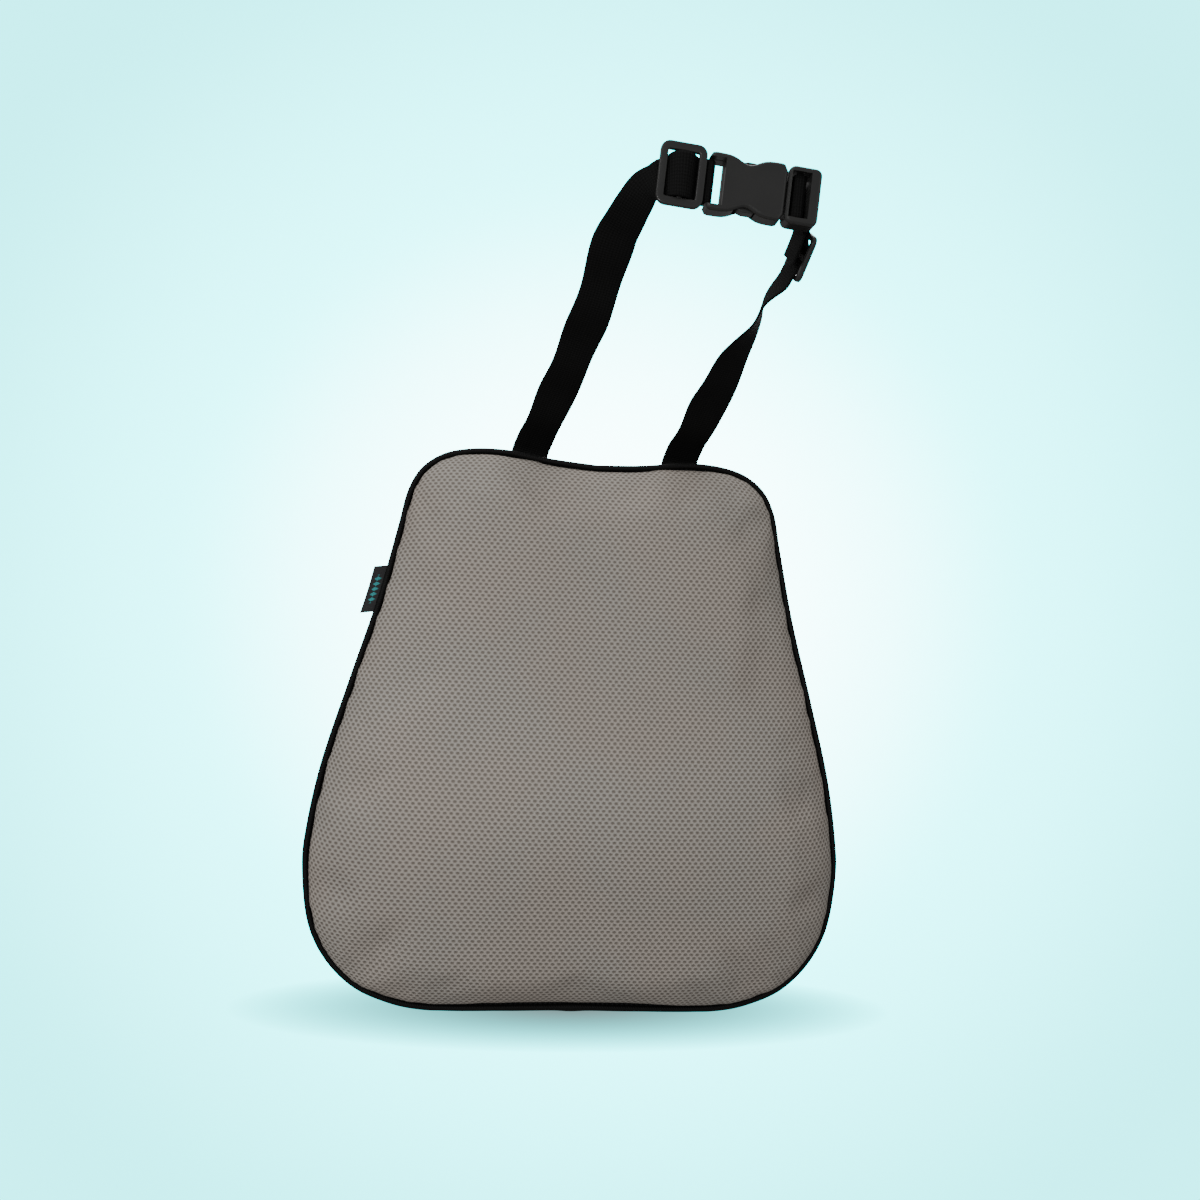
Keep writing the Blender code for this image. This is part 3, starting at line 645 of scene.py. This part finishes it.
# %% Piping
def piping(name, y_at):
    """A slightly wavy cord round the outline, thicker where its ends meet."""
    loop = bell(420)
    count = len(loop)
    middle = inset(loop, PIPE_R)
    y = y_at(middle[:, 1])
    run = np.linalg.norm(np.diff(np.vstack([loop, loop[:1]]), axis=0), axis=1)
    around = np.concatenate([[0], np.cumsum(run)])
    centred = (around[:-1] + around[-1] / 2) % around[-1] - around[-1] / 2
    lump = 1 + 0.30 * np.exp(-((centred / 0.007) ** 2))
    rng = np.random.default_rng(len(name))
    knots = np.arange(0, count + 12, 12)
    wavy = np.interp(np.arange(count), knots, rng.uniform(-0.12, 0.12, len(knots))) * MM
    out = inset(loop, 1.0) - loop
    rows = []
    sides = 14
    for k in range(sides + 1):
        turn = 2 * math.pi * k / sides
        radius = PIPE_R * 0.97 * lump
        flat = middle + out * (radius * math.cos(turn) + wavy)[:, None]
        rows.append(np.column_stack([flat[:, 0], y + radius * math.sin(turn), flat[:, 1]]))
    made = skin(name, rows, uvs=lambda i, r: (r / sides * 0.0125, around[i]))
    points = coords(made.data)
    points[:, 2] = np.maximum(points[:, 2], 0.1 * MM)
    set_coords(made.data, points)
    edit(made)
    bpy.ops.mesh.remove_doubles(threshold=0.00001)
    bpy.ops.mesh.normals_make_consistent(inside=False)
    done(made)
    made.data.materials.append(cord)
    return made


pipe_front = piping("piping_front_cord", seam_y)
pipe_back = piping("piping_back_cord", lambda z: np.full(len(z), SEAM_BACK))
print("piping", len(pipe_front.data.polygons), "faces each")

# %% [markdown]
# ## Webbing
# Each length of webbing is a band 25 mm wide with soft edges. It weaves through its adjuster,
# goes round the buckle's bar and doubles back behind.

# %% Axes of the hardware
WEB_W, WEB_T = 25 * MM, 1.5 * MM
CREASED = 175 * MM


class Axes:
    """u runs along the webbing, v across it and w out of its face."""

    def __init__(self, origin, u, v):
        self.origin = Vector(origin)
        self.u = Vector(u).normalized()
        v = Vector(v)
        self.v = (v - self.u * v.dot(self.u)).normalized()
        self.w = self.u.cross(self.v)

    def at(self, u, v=0.0, w=0.0):
        return self.origin + (self.u * u + self.v * v + self.w * w) * MM


tilt = math.radians(3.5)
BUCKLE = Axes(Vector((85.8, -128.0, 505.5)) * MM, (math.cos(tilt), 0, -math.sin(tilt)),
              (math.sin(tilt), 0, math.cos(tilt)))
LEFT = Axes(BUCKLE.at(-61), BUCKLE.u, BUCKLE.v)
RIGHT = Axes(Vector((105.5, -97.0, 483.5)) * MM, (0.2, -0.52, 0.83), (0.0, -0.85, -0.53))
WEAVE = (
    (-13.5, -3.3), (-10.2, -3.1), (-7.4, -1.4), (-5, 1.0), (-2.4, 2.45), (0, 2.65),
    (2.4, 2.45), (5, 1.0), (7.6, -1.2), (10.2, -2.7), (13.0, -2.75),
)
print("buckle at", [round(c, 3) for c in BUCKLE.origin])

# %% A length of webbing
def ribbon(name, stations, count, first=0, last=None, curl=0.25):
    """Webbing through stations of (point in metres, direction across, share of its width)."""
    table = np.array([[*p, *(MM * c for c in w), MM * part] for p, w, part in stations], float)
    run = through(table, count)
    points, widths, parts = run[:, :3], run[:, 3:6], run[:, 6] / MM
    along = np.gradient(points, axis=0)
    along /= np.linalg.norm(along, axis=1)[:, None]
    widths -= along * (widths * along).sum(1)[:, None]
    widths /= np.linalg.norm(widths, axis=1)[:, None]
    normal = np.cross(along, widths)
    length = np.concatenate([[0], np.cumsum(np.linalg.norm(np.diff(points, axis=0), axis=1))])
    across = np.array([-1, -0.97, -0.8, -0.45, 0, 0.45, 0.8, 0.97, 1])
    thick = np.array([0.25, 0.8, 1, 1, 1, 1, 1, 0.8, 0.25])
    section = [(a, t, -1) for a, t in zip(across, thick)]
    section += [(a, t, 1) for a, t in zip(across[::-1], thick[::-1])]
    rows = []
    free = np.clip(np.minimum(length - 0.010, CREASED - length) / 0.012, 0, 1)
    points = points + normal * (free * 0.9 * MM * np.sin(length / 0.0068))[:, None]
    parts = parts * (1 + free * 0.045 * np.sin(length / 0.0083 + 1.2))
    for k in range(first, last or count):
        wave = curl * MM * math.sin(length[k] / 0.019) * math.cos(length[k] / 0.031)
        rows.append([
            points[k] + widths[k] * (a * parts[k] * WEB_W / 2)
            + normal[k] * (t * side * WEB_T / 2 + wave * (a * a - 0.4))
            for a, t, side in section
        ])
    made = skin(name, rows, caps=(0, -1),
                uvs=lambda i, r: (section[i % len(section)][0] * WEB_W / 2, length[first + r]))
    outwards(made, 60)
    made.data.materials.append(web)
    return made


def measured(points):
    """Stations given in millimetres."""
    return [(Vector(p) * MM, w, part) for p, w, part in points]


print("webbing", WEB_W / MM, "by", WEB_T / MM, "mm")

# %% Left length
left_free = measured((
    ((-46, 10.5, 364.5), (1, 0, 0), 1), ((-44.5, 8, 370.5), (1, 0.02, -0.02), 1),
    ((-40.5, -1, 380.5), (0.97, 0.17, -0.17), 1), ((-31, -24.5, 403), (0.9, 0.31, -0.31), 1),
    ((-22.5, -47, 425.5), (0.91, 0.29, -0.29), 1), ((-13, -75.9, 454.4), (0.91, 0.3, -0.3), 1),
    ((-7.5, -97, 480), (0.9, 0.3, -0.35), 1), ((-3.2, -108, 488.3), (0.86, 0.28, -0.42), 0.93),
    ((1.1, -116.5, 496), (0.8, 0.24, -0.55), 0.85),
    ((5.3, -121.5, 502.4), (0.5, 0.12, -0.85), 0.79),
))
TURN_SHIFT = (-4.0, -2.6, -1.6, -0.7, -0.3, -0.1, 0, 0, 0, 0, 0)
TURN_WIDTH = (0.8, 0.88, 0.95, 1.01, 1.03, 1.04, 1.04, 1.03, 1.01, 1, 1)
LEFT_WEAVE = (
    (-13.5, -3.3), (-10.4, -3.2), (-8.6, -2.7), (-5.6, 0.6), (-2.4, 2.45), (0, 2.65),
    (2.4, 2.45), (5.6, 0.6), (8.6, -2.55), (10.4, -2.8), (13.0, -2.75),
)
LEFT_BAR = (
    (15.8, -2.0), (17.9, -2.65), (18.7, -4.5), (17.9, -6.35), (15.8, -7.0),
    (13.2, -6.6), (8, -5.2), (2, -4.6), (-6, -4.6),
)
left_run = left_free + [
    (LEFT.at(u, v, w), -LEFT.v, part)
    for (u, w), v, part in zip(LEFT_WEAVE, TURN_SHIFT, TURN_WIDTH)
] + [(LEFT.at(u, 0, w), -LEFT.v, 1) for u, w in LEFT_BAR]
web_left = ribbon("webbing_left", left_run, 300)
print("left webbing", len(web_left.data.polygons), "faces")

# %% Right length
right_leg = measured((
    ((59.5, 10.5, 364.5), (1, 0, 0), 1), ((60.5, 8, 370.5), (1, 0, 0), 1),
    ((62.8, -1.5, 379.5), (1, 0.03, -0.03), 1), ((67, -17, 391.3), (1, 0.05, -0.05), 1),
    ((71.3, -34.5, 406), (0.98, 0.12, -0.08), 1), ((76, -50, 420.5), (0.9, 0.4, -0.1), 1),
    ((82, -61.5, 434.5), (0.7, 0.66, 0.15), 1), ((87.8, -70, 448.1), (0.42, 0.83, 0.33), 1),
    ((91.4, -78.5, 459.1), (0.2, 0.86, 0.46), 1),
))


BEND_R, BEND_Y, BEND_Z = 11, -117, 504.8


def edge_bend(xs):
    """The bunched webbing's turn behind the plug, from the adjuster's slope up to level."""
    bent = []
    for degrees, x, part in zip((58, 40, 20, 2), xs, (0.62, 0.58, 0.62, 0.8)):
        turn = math.radians(degrees)
        y, z = BEND_Y + BEND_R * math.sin(turn), BEND_Z - BEND_R * (1 - math.cos(turn))
        spot = Vector((x, y, z)) * MM
        bent.append((spot, (0.1, math.sin(turn), math.cos(turn)), part))
    return bent


round_bar = measured((
    ((97.4, -120, 504.8), (0.06, 0, 1), 0.95), ((97.4, -123.3, 504.8), (0.06, 0, 1), 0.98),
    ((96.5, -125.7, 504.9), (0.06, 0, 1), 1), ((93.8, -126.3, 505), (0.06, 0, 1), 1),
    ((91.1, -125.7, 505.1), (0.06, 0, 1), 1), ((90.2, -123.3, 505.2), (0.06, 0, 1), 0.98),
    ((90.2, -120, 505.2), (0.06, 0, 1), 0.95),
))
through_right = [(RIGHT.at(u, 0, w), -RIGHT.v, 1) for u, w in ((-17.5, -3.6), *WEAVE)]
tail = [(RIGHT.at(u, 0, w), -RIGHT.v, 1)
        for u, w in ((13, -5.9), (10.4, -5.2), (5, -4.8), (0, -4.8), (-5, -4.8))]
right_run = (right_leg + through_right + edge_bend((104.6, 102, 99.5, 97.8)) + round_bar
             + edge_bend((98.2, 94.6, 91.6, 90.3))[::-1] + tail)
RIGHT_ROWS, SPLIT_ROW = 360, 66
web_leg = ribbon("webbing_right_leg", right_run, RIGHT_ROWS, last=SPLIT_ROW + 1)
web_end = ribbon("webbing_right_end", right_run, RIGHT_ROWS, first=SPLIT_ROW)
print("right webbing", len(web_leg.data.polygons) + len(web_end.data.polygons), "faces")

# %% [markdown]
# ## Stitched tabs, label and zip
# The straps are sewn down on the top of the band. A small folded label with a woven teal
# pattern stands out of the left seam.

# %% Stitched tabs
def stitches(name, lines, material, length=2.2 * MM, gap=1.1 * MM, thick=0.35 * MM):
    """Rows of raised stitches along lines of (start, end, up)."""
    points, faces = [], []
    for start, end, up in lines:
        start, end, up = Vector(start), Vector(end), Vector(up)
        way = end - start
        total = way.length
        way.normalize()
        side = way.cross(up).normalized()
        number = max(1, int(total / (length + gap)))
        for k in range(number):
            base = len(points)
            middle = start + way * ((k + 0.5) * total / number)
            for a, lift in ((-0.5, 0.0), (-0.3, 0.8), (0.3, 0.8), (0.5, 0.0)):
                spot = middle + way * (a * length) + up * (lift * thick)
                points += [spot - side * thick, spot + up * thick * 0.9, spot + side * thick]
            for r in range(3):
                for c in range(2):
                    at = base + r * 3 + c
                    faces.append((at, at + 1, at + 4, at + 3))
    mesh = bpy.data.meshes.new(name)
    mesh.from_pydata([tuple(p) for p in points], [], faces)
    obj = bpy.data.objects.new(name, mesh)
    bpy.context.scene.collection.objects.link(obj)
    mesh.materials.append(material)
    return obj


def top_height(x):
    """The height of the outline's top edge at x."""
    top = OUTLINE[OUTLINE[:, 1] > 0.33]
    top = top[np.argsort(top[:, 0])]
    return float(np.interp(x, top[:, 0], top[:, 1]))


def tab(name, x):
    """A short length of webbing laid over the band, sewn down in a crossed box."""
    stations = [
        (Vector((x, y * MM, top_height(x) + 0.9 * MM)), (1, 0, 0), 1)
        for y in (1.5, 6, 12, 18, 24.5)
    ]
    made = ribbon(name, stations, 24, curl=0.1)
    points = coords(made.data)
    points[:, 2] += np.array([top_height(p) for p in points[:, 0]]) - top_height(x)
    set_coords(made.data, points)
    corners = [(x - 10 * MM, 3.5 * MM), (x + 10 * MM, 3.5 * MM),
               (x + 10 * MM, 22.5 * MM), (x - 10 * MM, 22.5 * MM)]
    spots = [Vector((a, b, top_height(a) + 1.7 * MM)) for a, b in corners]
    pairs = ((0, 1), (1, 2), (2, 3), (3, 0), (0, 2), (1, 3))
    lines = [(spots[i], spots[j], (0, 0, 1)) for i, j in pairs]
    sewn = stitches(name + "_stitches", lines, thread)
    return made, sewn


tabs = [tab("strap_tab_left", TABS_X[0]), tab("strap_tab_right", TABS_X[1])]
print("tabs", [t[0].name for t in tabs])

# %% Label's weave
def label_weave():
    """Black ribbon with a row of teal diamonds woven in."""
    finish = Finish("label_weave", roughness=0.8, sheen=0.1)
    across, along, _ = finish.place("run")
    u = along / (31 * MM)
    frame_lines = (u - 0.5).math("ABSOLUTE").step(0.30, 0.31)
    cell = (u * 9.0).fract() - 0.5
    height = (across / (7 * MM)) - 0.5
    diamond = (cell.math("ABSOLUTE") + height.math("ABSOLUTE") * 1.4).step(0.46, 0.36)
    mark = diamond * (1.0 - frame_lines)
    weave = along.wave(0.7 * MM)
    colour = mark.colours((0.008, 0.008, 0.009), (0.02, 0.26, 0.27))
    return finish.set(colour, None, weave, 0.0002, 0.4)


teal_weave = label_weave()
print("label finish", teal_weave.name)

# %% Label
def label():
    """A folded ribbon that stands out of the left seam, bent back a little."""
    left = OUTLINE[OUTLINE[:, 0] < 0]
    left = left[np.argsort(left[:, 1])]
    profile = [(-1.0, -0.45), (3, -0.75), (6.4, -0.85), (7.7, -0.55), (8.1, 0.0),
               (7.7, 0.55), (6.4, 0.85), (3, 0.75), (-1.0, 0.45), (-1.0, 0.1), (6.4, 0.28),
               (7.2, 0.0), (6.4, -0.28), (-1.0, -0.1)]
    rows = []
    heights = np.linspace(*LABEL_Z, 26)
    for k, z in enumerate(heights):
        edge = float(np.interp(z, left[:, 1], left[:, 0]))
        bend = 0.5 * MM * math.sin(k / 25 * math.pi * 1.3)
        rows.append([
            (edge - a * MM, float(seam_y(z)) + b * MM * 1.25 + bend * a / 8,
             z - 1.2 * MM * a / 8)
            for a, b in profile
        ])
    made = skin("seam_label", rows, caps=(0, -1),
                uvs=lambda i, r: (max(profile[i % 14][0], 0) * MM, heights[r] - heights[0]))
    outwards(made, 50)
    made.data.materials.append(teal_weave)
    return made


tag = label()
print("label", len(tag.data.polygons), "faces")

# %% Zip tape
def zip_tape(name):
    """Half of the zip's tape, lying a little wavy in the slot."""
    a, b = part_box("zip_tape_" + name)
    bpy.ops.mesh.primitive_grid_add(x_subdivisions=60, y_subdivisions=6, size=1)
    made = bpy.context.object
    made.name = "zip_tape_" + name + "_cloth"
    points = coords(made.data)
    x = points[:, 0] * (b.x - a.x)
    z = (a.z + b.z) / 2 + points[:, 1] * (b.z - a.z)
    y = (a.y + b.y) / 2 + 0.12 * MM * np.sin(x / 0.004) * np.abs(points[:, 1])
    set_coords(made.data, np.column_stack([x, y, z]))
    applied(made, "SOLIDIFY", thickness=0.5 * MM, offset=0)
    outwards(made, 40)
    made.data.materials.append(tape)
    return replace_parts(made, "zip_tape_" + name)


tapes = [zip_tape("upper"), zip_tape("lower")]
print("zip tape", sum(len(t.data.polygons) for t in tapes), "faces")

# %% Zip coil
def zip_coil(name, sign):
    """The coil's turns as short bent bars, side by side along the tape."""
    a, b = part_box("zip_coil_" + name)
    inner = a.z if sign > 0 else b.z
    outer = b.z if sign > 0 else a.z
    pitch = 1.5 * MM
    turns = int((b.x - a.x) / pitch)
    profile = [(0.0, 0.35), (0.12, 1.0), (0.55, 1.0), (1.0, 0.55), (1.0, 0.2), (0.3, 0.05)]
    points, faces = [], []
    for k in range(turns):
        x = a.x + (k + 0.5 + sign * 0.25) * pitch
        base = len(points)
        for half in (-0.3, 0.3):
            for t, h in profile:
                reach = half * pitch * (1.0 if t < 0.5 else 0.8)
                points.append((x + reach, a.y + (b.y - a.y) * h, inner + (outer - inner) * t))
        n = len(profile)
        for i in range(n):
            j = (i + 1) % n
            faces.append((base + i, base + j, base + n + j, base + n + i))
        faces += [tuple(range(base, base + n)), tuple(range(base + n, base + 2 * n))]
    mesh = bpy.data.meshes.new("zip_coil_" + name + "_turns")
    mesh.from_pydata(points, [], faces)
    made = bpy.data.objects.new(mesh.name, mesh)
    bpy.context.scene.collection.objects.link(made)
    outwards(made, 40)
    mesh.materials.append(coil)
    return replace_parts(made, "zip_coil_" + name)


zips = [*tapes, zip_coil("upper", 1), zip_coil("lower", -1)]
print("zip", sum(len(z.data.polygons) for z in zips), "faces")

# %% [markdown]
# ## Left adjuster
# The left adjuster is a thick frame with rounded corners and a bar across its middle, which the
# webbing hides.

# %% Left adjuster
def adjuster(name, axes, size, side, rail, bar):
    """A frame of the given (long, wide, thick) with a bar across its middle."""
    long, wide, thick = size
    bpy.ops.mesh.primitive_plane_add(size=1)
    made = bpy.context.object
    made.name = name
    made.scale = (long, wide, 1)
    bpy.ops.object.transform_apply(location=False, rotation=False, scale=True)
    edit(made)
    bpy.ops.mesh.bevel(offset=5.5 * MM, segments=6, affect="VERTICES")
    bpy.ops.mesh.inset(thickness=rail)
    bpy.ops.transform.resize(value=((long - 2 * side) / (long - 2 * rail), 1, 1))
    bpy.ops.mesh.delete(type="FACE")
    bpy.ops.mesh.select_all(action="SELECT")
    bpy.ops.mesh.extrude_region_move(TRANSFORM_OT_translate={"value": (0, 0, thick)})
    bpy.ops.mesh.select_all(action="SELECT")
    bpy.ops.transform.translate(value=(0, 0, -thick / 2))
    bpy.ops.mesh.primitive_cube_add(size=1, scale=(bar, wide - rail, thick * 0.8))
    bpy.ops.mesh.select_all(action="SELECT")
    bpy.ops.mesh.normals_make_consistent(inside=False)
    done(made)
    applied(made, "BEVEL", width=0.7 * MM, segments=3, limit_method="ANGLE")
    turned = Matrix((axes.u, axes.v, axes.w)).transposed().to_4x4()
    made.data.transform(Matrix.Translation(axes.origin) @ turned)
    outwards(made, 40)
    made.data.materials.append(plastic)
    return made


left_frame = adjuster("adjuster_left", LEFT, (27 * MM, 36 * MM, 3 * MM), 4.5 * MM,
                      4.7 * MM, 3 * MM)
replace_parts(left_frame, "slider_left")
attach(left_frame, "left_adjuster")
print("left adjuster", len(left_frame.data.polygons), "faces")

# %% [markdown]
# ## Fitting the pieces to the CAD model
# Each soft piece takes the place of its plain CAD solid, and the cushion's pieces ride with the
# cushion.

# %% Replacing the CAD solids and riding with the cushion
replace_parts(front, "front_panel", "foam_core", "inner_liner")
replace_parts(side, "side_band")
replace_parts(rear, "back_panel")
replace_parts(pipe_front, "piping_front")
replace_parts(pipe_back, "piping_back")
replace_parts(tag, "label_tag")
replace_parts(web_left, "strap_left")
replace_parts(web_end, "strap_right")
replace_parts(tabs[0][0], "strap_anchor_left")
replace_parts(tabs[1][0], "strap_anchor_right")
for piece in (front, side, rear, pipe_front, pipe_back, tag, *zips, *tabs[0], *tabs[1]):
    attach(piece, "cushion")
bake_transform(web_left)
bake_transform(web_leg)
tuple(RIGHT.at(-16, 0, -3))
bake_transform(web_end)

# %% Finishes for the hard pieces
HARD = {
    plastic: ("slider_right", "buckle_socket", "buckle_plug", "prong_upper",
              "prong_lower"),
    zip_metal: ("zip_slider", "zip_pull", "zip_stop_left", "zip_stop_right"),
}
for finish, names in HARD.items():
    for name in names:
        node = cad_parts[name]
        node.data.materials.clear()
        node.data.materials.append(finish)
print("hard pieces", sum(len(names) for names in HARD.values()))

# %% [markdown]
# ## Camera, floor and light
# The camera looks level at the front from a little to the left, and is turned slightly so that
# the cushion leans to the right. The floor sweeps up into a pale backdrop that glows with a
# painted pool of light and carries a painted shadow under the cushion.

# %% Camera
YAW, LEAN, AWAY, LENS = math.radians(-7.0), math.radians(3.25), 0.658, 29.05
AIM = Vector((0.007, -0.01, 0.2686))
data = bpy.data.cameras.new("Camera")
camera = bpy.data.objects.new("Camera", data)
bpy.context.scene.collection.objects.link(camera)
back_way = Vector((math.sin(YAW), -math.cos(YAW), 0))
right_way = Vector((math.cos(YAW), math.sin(YAW), 0))
up = Vector((0, 0, 1)) * math.cos(LEAN) - right_way * math.sin(LEAN)
right = right_way * math.cos(LEAN) + Vector((0, 0, 1)) * math.sin(LEAN)
turned = Matrix((right, up, back_way)).transposed().to_4x4()
camera.matrix_world = Matrix.Translation(AIM + back_way * AWAY) @ turned
data.lens = LENS
data.clip_start = 0.02
bpy.context.scene.camera = camera
print("camera at", [round(c, 3) for c in camera.location])

# %% Floor and backdrop
PAINTED_GLOW_STRENGTH = 14.0
SOURCE = AIM + back_way * AWAY


def pool(place):
    """How far off the line from the front a point is: 0 in the middle of the pool of light."""
    x, y, z = (part - at for part, at in zip(place, SOURCE))
    depth = x * -back_way.x + y * -back_way.y
    return ((x * x + y * y + z * z) / (depth * depth) - 1.0).math("SQRT")


def painted_contact_shadow(place):
    """Painted contact shadow: 1 on the open floor, falling away towards the foot of the cushion.
    """
    x, y, z = place
    away = ((x / 0.21) * (x / 0.21) + ((y + 0.03) / 0.062) * ((y + 0.03) / 0.062)).math("SQRT")
    return ((away.math("MINIMUM", 1.04) - 1.04) * 3.6).math("EXPONENT")


def backdrop():
    """A floor that sweeps up into a wall, glowing with a painted pool of light that is bright in
    the middle and pale teal outside, with a painted shadow at the cushion's foot.
    """
    finish = Finish("backdrop_pale", roughness=1.0, specular=0.0)
    place = finish.place()
    away = pool(place)
    # Painted pool of light: the backdrop's emission is brightest round the line from the front
    # through the cushion and fades to pale teal.
    painted_light_and_shade = away.step(0.08, 0.46).colours((0.60, 1.0, 1.0), (0.0, 0.66, 0.67))
    painted_light_and_shade = away.step(0.30, 0.80).colours(painted_light_and_shade, (0.0, 0.34, 0.345))
    # Painted shadow: the backdrop's glow falls to near black round the cushion's foot.
    painted_light_and_shade = painted_contact_shadow(place).colours((0.018, 0.008, 0.008), painted_light_and_shade)
    material = finish.set((0.03, 0.04, 0.04))
    finish.tree.links.new(painted_light_and_shade.socket, finish.shader.inputs["Emission Color"])
    finish.shader.inputs["Emission Strength"].default_value = PAINTED_GLOW_STRENGTH
    rows = []
    for y, z in ((-2.0, 0), (-0.5, 0), (0.6, 0), (0.95, 0.01), (1.2, 0.07), (1.38, 0.2),
                 (1.47, 0.4), (1.5, 0.8), (1.5, 2.4)):
        rows.append([(x, y, z) for x in np.linspace(-3, 3, 13)])
    made = skin("backdrop", rows, closed=False)
    applied(made, "SUBSURF", levels=2, render_levels=2)
    made.data.materials.append(material)
    return made


floor = backdrop()
floor.visible_diffuse = False
floor.visible_glossy = False
print("backdrop", len(floor.data.polygons), "faces")

# %% Lights
def area(name, at, towards, size, power):
    """A round soft light."""
    data = bpy.data.lights.new(name, "AREA")
    data.shape, data.size, data.energy = "DISK", size, power
    lamp = bpy.data.objects.new(name, data)
    bpy.context.scene.collection.objects.link(lamp)
    lamp.location = at
    lamp.rotation_euler = (Vector(towards) - Vector(at)).to_track_quat("-Z", "Y").to_euler()


area("key", (-0.9, -1.1, 1.7), (0, 0, 0.1), 0.9, 9)
area("low", (-0.35, -0.85, 0.38), (0, 0, 0.09), 0.3, 3.4)
area("fill", (1.3, -1.3, 0.7), (0, 0, 0.2), 1.4, 2)
area("top", (0.1, 0.2, 1.8), (0, 0, 0.2), 1.2, 8)
area("behind", (0.7, 1.3, 1.1), (0, 0, 0.2), 0.9, 12)
world = bpy.data.worlds.new("studio")
bpy.context.scene.world = world
world.use_nodes = True
world.node_tree.nodes["Background"].inputs[0].default_value = (1.0, 1.0, 1.0, 1)
world.node_tree.nodes["Background"].inputs[1].default_value = 0.3
print("lights set")
